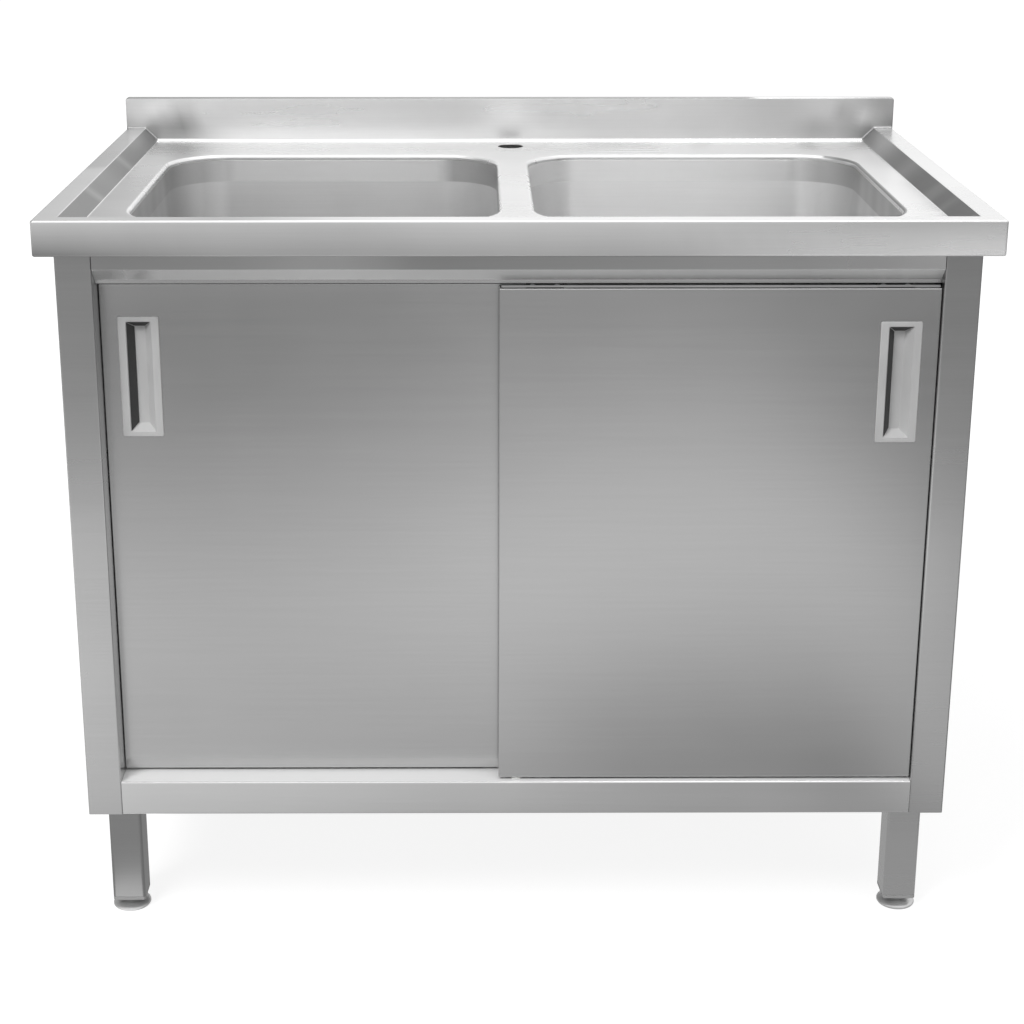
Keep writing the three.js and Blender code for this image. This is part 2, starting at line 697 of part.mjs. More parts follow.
/** Stiffener welded under the shelf, from one leg to the other. */
const shelfStiffener = extrude(
  topHat(
    SHELF_STIFFENER_WIDTH, SHELF_STIFFENER_HEIGHT, STIFFENER_FOOT,
    SHELF_TOP - 2 * BODY_GAUGE - FIT, -1,
  ),
  'x', -(PANEL_INSIDE - BODY_GAUGE - FIT), PANEL_INSIDE - BODY_GAUGE - FIT,
);
add('shelf_stiffener', shelfStiffener, millSteel);

// ---------------------------------------------------------------------------------------------
// Braces under the worktop
// ---------------------------------------------------------------------------------------------

/** An inverted channel, centred on the first coordinate. */
function channel(width, height, top) {
  return foldedSection([
    [width / 2, top - height], [width / 2, top], [-width / 2, top], [-width / 2, top - height],
  ], BODY_GAUGE);
}

const REAR_BRACE_Y = BOWL_Y + BOWL_LENGTH / 2 + BOWL_GAUGE + BOWL_FLANGE + REAR_BRACE_SETBACK
  + REAR_BRACE_WIDTH / 2;
const braceReach = BODY_SIDE - TOP_FLANGE - FIT;
const rearBrace = channel(REAR_BRACE_WIDTH, BRACE_HEIGHT, SEAT_Z).map(([y, z]) => [y + REAR_BRACE_Y, z]);
add('worktop_brace_rear', extrude(rearBrace, 'x', -braceReach, braceReach), millSteel);
add('worktop_brace_centre', extrude(
  channel(BRACE_WIDTH, BRACE_HEIGHT, SEAT_Z),
  'y',
  BOWL_Y - BOWL_LENGTH / 2,
  REAR_BRACE_Y - REAR_BRACE_WIDTH / 2 - FIT,
), millSteel);

// ---------------------------------------------------------------------------------------------
// Door tracks: the fascia ends in the front running edge, a second section holds the rear one
// ---------------------------------------------------------------------------------------------

const railReach = POST_INNER - FIT;
const frontRail = foldedSection([
  [BODY_FRONT + RAIL_TOP_FLANGE, SEAT_Z],
  [BODY_FRONT, SEAT_Z],
  [BODY_FRONT, FASCIA_KNEE],
  [FRONT_RIB_REAR, RAIL_BOTTOM],
  [FRONT_RIB_REAR, RIB_TOP],
], BODY_GAUGE, BODY_GAUGE / 3);
add('front_rail', extrude(frontRail, 'x', -railReach, railReach), brushedSteel);

const rearTrackTop = SEAT_Z - BODY_GAUGE - FIT;
const rearTrack = foldedSection([
  [REAR_TRACK_WEB - REAR_TRACK_FLANGE, rearTrackTop - BODY_GAUGE],
  [REAR_TRACK_WEB, rearTrackTop - BODY_GAUGE],
  [REAR_TRACK_WEB, RAIL_BOTTOM],
  [REAR_RIB_REAR, RAIL_BOTTOM],
  [REAR_RIB_REAR, RIB_TOP],
], BODY_GAUGE, BODY_GAUGE / 3);
add('rear_track', extrude(rearTrack, 'x', -railReach, railReach), brushedSteel);

// ---------------------------------------------------------------------------------------------
// Doors
// ---------------------------------------------------------------------------------------------

/** The handle's opening, floor or frame as a loft along the door's depth. */
function doorLoft(levels) {
  return loft(levels, ([a, b], depth) => [a, depth, b]);
}

function handleOutline(inset, centre, insetEnd = inset) {
  const radius = Math.max(HANDLE_CORNER - inset, 0.6);
  const [halfWidth, halfHeight] = [HANDLE_WIDTH / 2 - inset, HANDLE_HEIGHT / 2 - insetEnd];
  return roundedRectangle(halfWidth, halfHeight, radius, centre, 3).reverse();
}

/** Flush pull: a bevelled frame proud of the door round a pocket with leaning walls. */
function handle(face, centre) {
  const back = face + HANDLE_POCKET + HANDLE_WALL;
  const frame = doorLoft([
    { level: face - HANDLE_PROUD, outline: handleOutline(HANDLE_BEVEL, centre) },
    { level: face - HANDLE_PROUD + HANDLE_BEVEL, outline: handleOutline(0, centre) },
    { level: face - FIT, outline: handleOutline(0, centre) },
  ]);
  const body = doorLoft([
    { level: face - HANDLE_PROUD / 2, outline: handleOutline(HANDLE_BODY_INSET, centre) },
    { level: back, outline: handleOutline(HANDLE_BODY_INSET, centre) },
  ]);
  const pocket = (lean, level) => ({
    level,
    outline: handleOutline(
      HANDLE_FRAME_SIDE + lean * HANDLE_SLOPE_SIDE, centre, HANDLE_FRAME_END + lean * HANDLE_SLOPE_END,
    ),
  });
  const outward = HANDLE_PROUD / (HANDLE_POCKET + HANDLE_PROUD);
  return frame.add(body).subtract(doorLoft([
    pocket(-outward, face - 2 * HANDLE_PROUD),
    pocket(0, face - HANDLE_PROUD),
    pocket(1, face + HANDLE_POCKET),
  ]));
}

/** A door's two pans: the skin opens to the back, the liner nests in it and opens to the front. */
function doorPans(x0, x1, face, hole) {
  const back = face + DOOR_THICKNESS;
  const g = DOOR_GAUGE;
  const slot = block(
    [x0 + GUIDE_SLOT_END, x1 - GUIDE_SLOT_END],
    [face + (DOOR_THICKNESS - GUIDE_SLOT) / 2, face + (DOOR_THICKNESS + GUIDE_SLOT) / 2],
    [DOOR_BOTTOM - g, DOOR_BOTTOM + 3 * g + FIT],
  );
  const pan = (inset, front, rear) => block(
    [x0 + inset, x1 - inset], [front, rear], [DOOR_BOTTOM + inset, DOOR_TOP - inset],
  );
  const skin = pan(0, face, back).subtract(pan(g, face + g, back + g)).subtract(slot).subtract(hole);
  const nest = g + FIT;
  const liner = pan(nest, face + nest, back)
    .subtract(pan(nest + g, face, back - g))
    .subtract(slot);
  return { skin, liner };
}

/** Hanger: a foot screwed to the door's top edge, a plate narrowed towards the roller's axle. */
function hanger(x, rollerY) {
  const front = rollerY + ROLLER_WIDTH / 2 + ROLLER_SIDE_GAP;
  const rear = front + BRACKET_GAUGE;
  const foot = DOOR_TOP + FIT;
  const section = foldedSection([
    [rear - HANGER_FOOT, foot], [rear, foot], [rear, HANGER_TOP],
  ], BRACKET_GAUGE);
  const shoulder = foot + 3 * BRACKET_GAUGE;
  const [wide, narrow] = [HANGER_WIDTH / 2, HANGER_NECK / 2];
  const face = [
    [x - wide, foot - 1], [x + wide, foot - 1], [x + wide, shoulder],
    [x + narrow, AXLE_Z - HANGER_NECK_DROP], [x + narrow, HANGER_TOP - HANGER_CHAMFER],
    [x + narrow - HANGER_CHAMFER, HANGER_TOP + 1], [x - narrow + HANGER_CHAMFER, HANGER_TOP + 1],
    [x - narrow, HANGER_TOP - HANGER_CHAMFER], [x - narrow, AXLE_Z - HANGER_NECK_DROP],
    [x - wide, shoulder],
  ];
  const bore = rod('y', AXLE_DIAMETER / 2 + FIT, [x, AXLE_Z], front - 1, rear + 1, 16);
  return extrude(section, 'x', x - wide, x + wide)
    .intersect(extrude(face, 'y', front - HANGER_FOOT - 2, rear + 1))
    .subtract(bore);
}

/** Nylon roller with a groove that straddles the running edge. */
function roller(x, y) {
  const [half, rim, mouth] = [ROLLER_WIDTH / 2, ROLLER_RADIUS, GROOVE_WIDTH / 2];
  const bore = AXLE_DIAMETER / 2 + FIT;
  const outline = [
    [bore, -half], [rim - ROLLER_CHAMFER, -half], [rim, -half + ROLLER_CHAMFER], [rim, -mouth - GROOVE_FLARE],
    [ROLLER_GROOVE, -mouth], [ROLLER_GROOVE, mouth],
    [rim, mouth + GROOVE_FLARE], [rim, half - ROLLER_CHAMFER], [rim - ROLLER_CHAMFER, half],
    [bore, half], [bore, -half],
  ];
  const lathe = new THREE.LatheGeometry(outline.map(([r, a]) => new THREE.Vector2(r, a)), ROUND_STEPS);
  return solid(lathe.translate(x, y, AXLE_Z));
}

/** Axle pin with a flat head in front of the roller, riveted over behind the hanger plate. */
function axle(x, y) {
  const frontOfRoller = y - ROLLER_WIDTH / 2 - FIT;
  const rearOfPlate = y + ROLLER_WIDTH / 2 + ROLLER_SIDE_GAP + BRACKET_GAUGE;
  return rod('y', AXLE_DIAMETER / 2, [x, AXLE_Z], frontOfRoller - 0.1, rearOfPlate + AXLE_RIVET, 16)
    .add(rod('y', AXLE_HEAD / 2, [x, AXLE_Z], frontOfRoller - AXLE_HEAD_THICKNESS, frontOfRoller, 16));
}

[FRONT_DOOR, REAR_DOOR].forEach(({ name, side, face, rollerY }) => {
  const [x0, x1] = span(side, -DOOR_OVERLAP, DOOR_CLOSED);
  const centre = [
    side * (DOOR_CLOSED - HANDLE_INSET - HANDLE_WIDTH / 2),
    DOOR_TOP - HANDLE_TOP - HANDLE_HEIGHT / 2,
  ];
  const cut = HANDLE_BODY_INSET - FIT;
  const hole = doorLoft([
    { level: face - 1, outline: handleOutline(cut, centre) },
    { level: face + 2 * DOOR_GAUGE, outline: handleOutline(cut, centre) },
  ]);
  const { skin, liner } = doorPans(x0, x1, face, hole);
  add(`${name}_skin`, skin, brushedSteel);
  add(`${name}_liner`, liner, millSteel);
  add(`${name}_handle`, handle(face, centre), handleGrey);
  SIDES.forEach(([word, end]) => {
    const x = (x0 + x1) / 2 + end * (DOOR_WIDTH / 2 - HANGER_INSET);
    add(`${name}_hanger_${word}`, hanger(x, rollerY), millSteel);
    add(`${name}_roller_${word}`, roller(x, rollerY), nylonWhite);
    add(`${name}_axle_${word}`, axle(x, rollerY), millSteel);
  });
  const guideY = face + DOOR_THICKNESS / 2;
  const base = SHELF_TOP + FIT;
  add(`${name}_guide`, turned([
    [0, base], [GUIDE_BASE / 2 - GUIDE_BASE_EDGE[0], base], [GUIDE_BASE / 2, base + GUIDE_BASE_EDGE[1]],
    [GUIDE_BASE / 2 - GUIDE_BASE_SLOPE, base + GUIDE_BASE_THICKNESS],
    [GUIDE_PIN / 2, base + GUIDE_BASE_THICKNESS], [GUIDE_PIN / 2, base + GUIDE_PIN_HEIGHT - GUIDE_PIN_CHAMFER],
    [GUIDE_PIN / 2 - GUIDE_PIN_CHAMFER, base + GUIDE_PIN_HEIGHT],
    [0, base + GUIDE_PIN_HEIGHT],
  ], 0, guideY, 20), nylonWhite);
});

// ---------------------------------------------------------------------------------------------
// Legs: square tube on a plate under the shelf, with an end cap and a screwed levelling foot
// ---------------------------------------------------------------------------------------------

const PLATE_TOP = SHELF_TOP - BODY_GAUGE - FIT;
const LEG_TOP = PLATE_TOP - LEG_PLATE_THICKNESS - FIT;
const CAP_TOP = LEG_BOTTOM - FIT;
const CAP_BOTTOM = CAP_TOP - CAP_THICKNESS;

function legTube(x, y) {
  const half = LEG_SIZE / 2;
  return extrude(roundedRectangle(half, half, LEG_CORNER, [x, y], 3), 'z', LEG_BOTTOM, LEG_TOP)
    .subtract(extrude(
      roundedRectangle(half - LEG_GAUGE, half - LEG_GAUGE, LEG_CORNER - LEG_GAUGE, [x, y], 3),
      'z', LEG_BOTTOM - 1, LEG_TOP + 1,
    ));
}

/** Plate welded on the tube's upper end and bolted under the shelf, close to its side fold. */
function legPlate(y, side) {
  const outer = PANEL_INSIDE - BODY_GAUGE - FIT;
  return block(
    span(side, outer - LEG_PLATE, outer),
    [y - LEG_PLATE / 2, y + LEG_PLATE / 2],
    [PLATE_TOP - LEG_PLATE_THICKNESS, PLATE_TOP],
  );
}

function endCap(x, y) {
  const half = LEG_SIZE / 2;
  const plug = half - LEG_GAUGE - FIT;
  const corner = Math.max(LEG_CORNER - LEG_GAUGE - FIT, FIT);
  return extrude(roundedRectangle(half, half, LEG_CORNER, [x, y], 3), 'z', CAP_BOTTOM, CAP_TOP)
    .add(extrude(roundedRectangle(plug, plug, corner, [x, y], 3), 'z', CAP_TOP - 1, CAP_TOP + CAP_PLUG))
    .subtract(extrude(
      roundedRectangle(plug - CAP_WALL, plug - CAP_WALL, FIT, [x, y], 3),
      'z', CAP_TOP + CAP_THICKNESS, CAP_TOP + CAP_PLUG + 1,
    ))
    .subtract(rod('z', STEM_DIAMETER / 2 + FIT, [x, y], CAP_BOTTOM - 1, CAP_TOP + CAP_PLUG, 16));
}

/** Levelling foot: a domed pad with a boss and the stem that screws into the end cap. */
function foot(x, y) {
  const [pad, boss, stem] = [FOOT_DIAMETER / 2, FOOT_BOSS / 2, STEM_DIAMETER / 2];
  return turned([
    [0, 0], [pad - FOOT_EDGE, 0], [pad, FOOT_EDGE], [pad, FOOT_PAD],
    [pad - FOOT_RIM[0], FOOT_PAD + FOOT_RIM[1]], [boss + FOOT_FLARE[0], FOOT_PAD + FOOT_FLARE[1]],
    [boss, FOOT_PAD + FOOT_CROWN], [boss, CAP_BOTTOM - FIT],
    [stem, CAP_BOTTOM - FIT], [stem, CAP_BOTTOM + STEM_LENGTH - STEM_CHAMFER],
    [stem - STEM_CHAMFER, CAP_BOTTOM + STEM_LENGTH], [0, CAP_BOTTOM + STEM_LENGTH],
  ], x, y);
}

ENDS.forEach(([place, end]) => SIDES.forEach(([word, side]) => {
  const x = side * (BODY_SIDE - LEG_INSET_SIDE - LEG_SIZE / 2);
  const y = end < 0
    ? BODY_FRONT + POST_DEPTH + LEG_PLATE_GAP + LEG_PLATE / 2
    : BACK_PANEL_REAR - BACK_TOP_FLANGE - LEG_PLATE_GAP - LEG_PLATE / 2;
  const where = `${place}_${word}`;
  add(`leg_${where}`, legTube(x, y), brushedSteel);
  add(`leg_plate_${where}`, legPlate(y, side), millSteel);
  add(`leg_cap_${where}`, endCap(x, y), capGrey);
  add(`foot_${where}`, foot(x, y), millSteel);
}));

export default sinkUnit;
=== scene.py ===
"""Looks of a stainless steel sink unit with two bowls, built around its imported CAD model.

Metres. +X is to the right seen from the front, -Y points at the user, +Z is up, and the origin
is on the floor under the middle of the worktop.
"""

import math

import bmesh
import bpy
import numpy as np
from bpy.props import FloatProperty, FloatVectorProperty, PointerProperty
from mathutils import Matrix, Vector


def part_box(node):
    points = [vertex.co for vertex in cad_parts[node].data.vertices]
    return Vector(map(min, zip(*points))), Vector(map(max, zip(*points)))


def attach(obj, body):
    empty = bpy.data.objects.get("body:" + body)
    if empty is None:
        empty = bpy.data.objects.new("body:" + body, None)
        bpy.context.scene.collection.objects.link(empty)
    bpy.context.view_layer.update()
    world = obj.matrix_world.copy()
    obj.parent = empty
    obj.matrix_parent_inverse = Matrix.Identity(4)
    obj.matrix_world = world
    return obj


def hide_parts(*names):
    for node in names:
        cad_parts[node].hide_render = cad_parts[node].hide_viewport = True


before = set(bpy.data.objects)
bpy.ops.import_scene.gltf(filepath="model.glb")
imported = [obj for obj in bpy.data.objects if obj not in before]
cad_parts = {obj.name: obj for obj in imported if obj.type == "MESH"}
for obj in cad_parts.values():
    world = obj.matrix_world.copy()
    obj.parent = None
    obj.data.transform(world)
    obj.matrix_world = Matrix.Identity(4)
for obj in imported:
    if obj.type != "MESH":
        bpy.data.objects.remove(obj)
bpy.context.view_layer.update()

bl_info = {
    "name": "Sink unit",
    "version": (1, 0, 0),
    "blender": (4, 5, 0),
    "location": "View3D > Sidebar > Sink unit",
    "description": "Builds the surfaces, finishes and studio of a stainless steel sink unit",
    "category": "Mesh",
}

FIT = 0.0003  # gap left between pieces that touch
WELD = 2e-5  # points nearer than this are one
LEVEL = 1e-5  # heights nearer than this are the same
CREASE = math.radians(32)  # an edge that turns by more than this is sharp
SIDES = (("left", -1), ("right", 1))
ENDS = ("front", "rear")


def node_box(name):
    """Lowest and highest corner of a CAD node as arrays."""
    low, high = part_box(name)
    return np.array(low), np.array(high)


def node_middle(name):
    """Centre of a CAD node's box, and half of the box's size, as arrays."""
    low, high = node_box(name)
    return (low + high) / 2, (high - low) / 2


# ---------------------------------------------------------------------------------------------
# Sizes and finishes
# ---------------------------------------------------------------------------------------------


def length(name, description, default):
    """A size in metres."""
    return FloatProperty(name=name, description=description, default=default, min=0.0, unit="LENGTH")


def colour(name, description, default):
    """A colour of three shares."""
    return FloatVectorProperty(
        name=name, description=description, default=default, min=0.0, max=1.0, subtype="COLOR"
    )


class WorktopSettings(bpy.types.PropertyGroup):
    gauge: length("Gauge", "Thickness of the worktop's sheet", 0.0012)
    slope: length("Slope", "Height and run of the slope between rim and recess", 0.016)
    rim_side: length("Side rim", "Flat width of the rim at the sides", 0.024)
    rim_front: length("Front rim", "Flat width of the rim at the front", 0.020)
    apron: length("Apron", "Height of the apron", 0.038)
    apron_return: length("Apron return", "Width of the lip folded in under the apron", 0.012)
    edge_radius: length("Edge radius", "Outside radius of the sheet's folds", 0.0022)
    corner: length("Corner", "Radius of the upright corner of the apron", 0.003)
    upstand: length("Upstand", "Height of the upstand above the rim", 0.040)
    upstand_thickness: length("Upstand thickness", "Depth of the upstand", 0.012)
    upstand_corner: length("Upstand corner", "Radius of the upstand's upper corners", 0.004)
    cove: length("Cove", "Radius of the weld at the upstand's foot", 0.003)
    lip: length("Lip", "Radius of the bowl openings' rolled edge", 0.004)
    neck: length("Neck", "Depth of the openings' turned-down edge", 0.006)
    tap_hole: length("Tap hole", "Diameter of the tap hole", 0.0325)
    tap_setback: length("Tap setback", "From the upstand to the middle of the tap hole", 0.043)


class BowlSettings(bpy.types.PropertyGroup):
    gauge: length("Gauge", "Thickness of the bowls' sheet", 0.0009)
    width: length("Width", "Width of a bowl's opening", 0.402)
    length: length("Length", "Length of a bowl's opening, front to back", 0.404)
    corner: length("Corner", "Radius of the opening's corners", 0.067)
    gap: length("Gap", "Bare worktop between the two bowls", 0.038)
    front: length("Front", "From the worktop's front to the openings", 0.075)
    depth: length("Depth", "From the recess to the bowl's floor", 0.250)
    collar: length("Collar", "Depth of the upright band above the weld", 0.027)
    draft: FloatProperty(
        name="Draft", description="Lean of the walls", default=math.radians(3), subtype="ANGLE"
    )
    cove: length("Cove", "Radius between wall and floor", 0.038)
    fall: length("Fall", "Fall of the floor to the waste", 0.005)
    seat: length("Seat", "Radius of the pressed seat of the waste", 0.045)
    seat_depth: length("Seat depth", "Depth of the pressed seat", 0.003)
    flange: length("Flange", "Width of the bowl's flange under the worktop", 0.008)


class CabinetSettings(bpy.types.PropertyGroup):
    gauge: length("Gauge", "Thickness of the cabinet's sheet", 0.001)
    bend: length("Bend", "Inside radius of a fold", 0.0008)
    post_depth: length("Post depth", "Depth of the front post's return", 0.045)
    post_width: length("Post width", "Width of the front post's face", 0.0385)
    rear_return: length("Rear return", "Width of the side panel's rear return", 0.028)
    top_flange: length("Top flange", "Width of the flange that carries the worktop", 0.032)
    shelf_return: length("Shelf return", "Width of the lip under the shelf's front", 0.012)
    shelf_fold: length("Shelf fold", "Height of the shelf's side folds", 0.022)
    fascia: length("Fascia", "Height of the fascia's upright part", 0.0415)
    fascia_slope: length("Fascia slope", "Height and depth of the fascia's slope", 0.016)
    rib: length("Rib", "Height of the tracks' running edges", 0.0077)
    leg_gauge: length("Leg gauge", "Wall of the legs' tube", 0.0015)
    leg_corner: length("Leg corner", "Radius of the legs' corners", 0.004)


class DoorSettings(bpy.types.PropertyGroup):
    gauge: length("Gauge", "Thickness of the doors' sheet", 0.0008)
    edge_radius: length("Edge radius", "Outside radius of the doors' folded edges", 0.0012)
    slot: length("Slot", "Width of the guide slot in the lower edge", 0.008)
    slot_end: length("Slot end", "From the door's end to the guide slot", 0.004)
    handle_corner: length("Handle corner", "Radius of the handle's corners", 0.002)
    frame_side: length("Frame side", "Width of the handle's upright borders", 0.0087)
    frame_end: length("Frame end", "Width of the handle's upper and lower borders", 0.0055)
    pocket: length("Pocket", "Depth of the handle's pocket below the door's face", 0.0096)
    lean_side: length("Side lean", "How far the pocket's side walls lean in", 0.0076)
    lean_end: length("End lean", "How far the pocket's end walls lean in", 0.007)


class FinishSettings(bpy.types.PropertyGroup):
    # the steels' colours differ from part to part, partly for their finishes and partly as painted light and
    # shade: worktop and bowls paler, cabinet and doors darker
    worktop: colour("Worktop steel", "Colour of the worktop", (0.87, 0.87, 0.87))
    bowl: colour("Bowl steel", "Colour of the bowls", (0.84, 0.84, 0.84))
    cabinet: colour("Cabinet steel", "Colour of the cabinet's sheets and the legs", (0.60, 0.60, 0.60))
    door: colour("Door steel", "Colour of the doors", (0.52, 0.52, 0.52))
    mill: colour("Mill steel", "Colour of unpolished steel", (0.45, 0.45, 0.45))
    # the hangers' colour is painted shade: they are dark so that they vanish into the shade of the gap above
    # the doors
    hanger: colour("Hanger", "Colour of the doors' darkened hangers", (0.10, 0.10, 0.10))
    handle: colour("Handle", "Colour of the handles", (0.55, 0.55, 0.55))
    nylon: colour("Nylon", "Colour of rollers and guides", (0.72, 0.72, 0.70))
    cap: colour("Leg cap", "Colour of the legs' end caps", (0.45, 0.45, 0.45))
    # this colour is also painted shade: the dark pads in the handles' pockets
    rubber_and_shade: colour("Rubber", "Colour of the waste's seal and the handles' grip pads", (0.05, 0.05, 0.05))
    chrome: colour("Chrome", "Colour of the waste fittings", (0.80, 0.80, 0.81))


class StageSettings(bpy.types.PropertyGroup):
    floor: colour("Floor", "Colour of the studio floor", (0.60, 0.60, 0.60))
    lens: FloatProperty(name="Lens", description="Focal length in millimetres", default=69.13)
    shift_x: FloatProperty(name="Shift X", description="Sideways shift of the lens", default=0.028)
    shift_y: FloatProperty(name="Shift Y", description="Upward shift of the lens", default=-0.120)


class SinkUnitSettings(bpy.types.PropertyGroup):
    worktop: PointerProperty(type=WorktopSettings)
    bowls: PointerProperty(type=BowlSettings)
    cabinet: PointerProperty(type=CabinetSettings)
    doors: PointerProperty(type=DoorSettings)
    finish: PointerProperty(type=FinishSettings)
    stage: PointerProperty(type=StageSettings)


# ---------------------------------------------------------------------------------------------
# Lines and loops, as arrays of points
# ---------------------------------------------------------------------------------------------


def bent(points, radii, steps=6):
    """A line through the points whose inner corners are arcs.

    An arc of radius r touches both sides of a corner that turns by the angle t: it starts
    r * tan(t / 2) before the corner, and its centre is r to the side that the line turns to.
    """
    points = np.asarray(points, float)
    line = [points[:1]]
    for before, corner, after, radius in zip(points, points[1:], points[2:], radii):
        enter = (corner - before) / np.linalg.norm(corner - before)
        leave = (after - corner) / np.linalg.norm(after - corner)
        turn = math.atan2(enter[0] * leave[1] - enter[1] * leave[0], enter @ leave)
        side = math.copysign(1.0, turn)
        start = corner - enter * radius * math.tan(abs(turn) / 2)
        centre = start + side * radius * np.array([-enter[1], enter[0]])
        angle = math.atan2(*(start - centre)[::-1]) + np.linspace(0, turn, steps + 1)
        line.append(centre + radius * np.stack([np.cos(angle), np.sin(angle)], axis=1))
    line.append(points[-1:])
    return np.concatenate(line)


def folded(path, gauge, bend, steps=5):
    """Both faces of a folded sheet: the path's face, and the one `gauge` to its left.

    Bends to the left have the inside radius on the far face, bends to the right on the path.
    """
    path = np.asarray(path, float)
    enter, leave = np.diff(path, axis=0)[:-1], np.diff(path, axis=0)[1:]
    turn = np.arctan2(
        enter[:, 0] * leave[:, 1] - enter[:, 1] * leave[:, 0], np.sum(enter * leave, axis=1)
    )
    reach = np.where(turn > 0, bend + gauge, bend)
    face = bent(path, reach, steps)
    along = np.gradient(face, axis=0)
    normal = np.stack([-along[:, 1], along[:, 0]], axis=1)
    # a bend's end belongs to the straight beside it, whose normal is exact
    for corner in range(len(turn)):
        first = 1 + corner * (steps + 1)
        angle = math.atan2(enter[corner, 1], enter[corner, 0]) + np.linspace(0, turn[corner], steps + 1)
        normal[first:first + steps + 1] = np.stack([-np.sin(angle), np.cos(angle)], axis=1)
    normal /= np.linalg.norm(normal, axis=1, keepdims=True)
    return face, face + gauge * normal


def rounded_loop(half_a, half_b, radius, centre=(0, 0), arc=8, straight=8):
    """A rectangle with round corners as a closed loop of points.

    It starts in the middle of the (+,+) corner and goes anticlockwise; each side is half an arc,
    a straight and half an arc. `radius` is one number, or one for each corner.
    """
    radius = np.broadcast_to(radius, 4)
    sign = np.array([(1, 1), (-1, 1), (-1, -1), (1, -1)])
    middle = sign * (np.array([half_a, half_b]) - radius[:, None])
    parts = []
    for k in range(4):
        following = (k + 1) % 4
        first = math.pi / 2 * (k + np.linspace(0.5, 1, arc + 1))[:, None]
        last = math.pi / 2 * (k + np.linspace(1, 1.5, arc + 1))[:, None]
        leaving = middle[k] + radius[k] * np.hstack([np.cos(first), np.sin(first)])
        arriving = middle[following] + radius[following] * np.hstack([np.cos(last), np.sin(last)])
        share = np.linspace(0, 1, straight + 1)[1:-1, None]
        parts += [leaving, leaving[-1] * (1 - share) + arriving[0] * share, arriving[:-1]]
    return np.concatenate(parts) + centre


def rectangle_loop(across, along):
    """A rectangle as a loop from its (+,+) corner, with the given coordinates on its sides."""
    a0, a1, b0, b1 = across[0], across[-1], along[0], along[-1]
    top = np.stack([across[:0:-1], np.full(len(across) - 1, b1)], axis=1)
    left = np.stack([np.full(len(along) - 1, a0), along[:0:-1]], axis=1)
    bottom = np.stack([across[:-1], np.full(len(across) - 1, b0)], axis=1)
    right = np.stack([np.full(len(along) - 1, a1), along[:-1]], axis=1)
    return np.concatenate([top, left, bottom, right])


def circle_loop(radius, count, centre=(0, 0)):
    """A circle of evenly spaced points that starts at 45 degrees, as the rounded loops do."""
    angle = math.pi / 4 + 2 * math.pi * np.arange(count) / count
    return radius * np.stack([np.cos(angle), np.sin(angle)], axis=1) + centre


def joined(x, y, z):
    """Coordinates whose shapes fit together, as one array of points."""
    return np.stack(np.broadcast_arrays(x, y, z), axis=-1)


def flat(loop, z):
    """A loop of (x, y) points laid at a height."""
    return np.column_stack([loop, np.full(len(loop), z)])


def upright(loop, y):
    """A loop of (x, z) points stood at a depth."""
    return np.column_stack([loop[:, 0], np.full(len(loop), y), loop[:, 1]])


def turned(profile, centre, axis="z", steps=48):
    """A profile of (radius, height) points turned about an axis through the centre.

    x = r cos(t), y = r sin(t) and z = h about the upright axis; about Y, y = h and z = r sin(t).
    """
    profile = np.asarray(profile, float)
    angle = 2 * math.pi * np.arange(steps) / steps
    a, b = np.outer(profile[:, 0], np.cos(angle)), np.outer(profile[:, 0], np.sin(angle))
    height = profile[:, 1:]
    return (joined(a, b, height) if axis == "z" else joined(a, height, b)) + np.asarray(centre, float)


# ---------------------------------------------------------------------------------------------
# Surfaces and pieces
# ---------------------------------------------------------------------------------------------


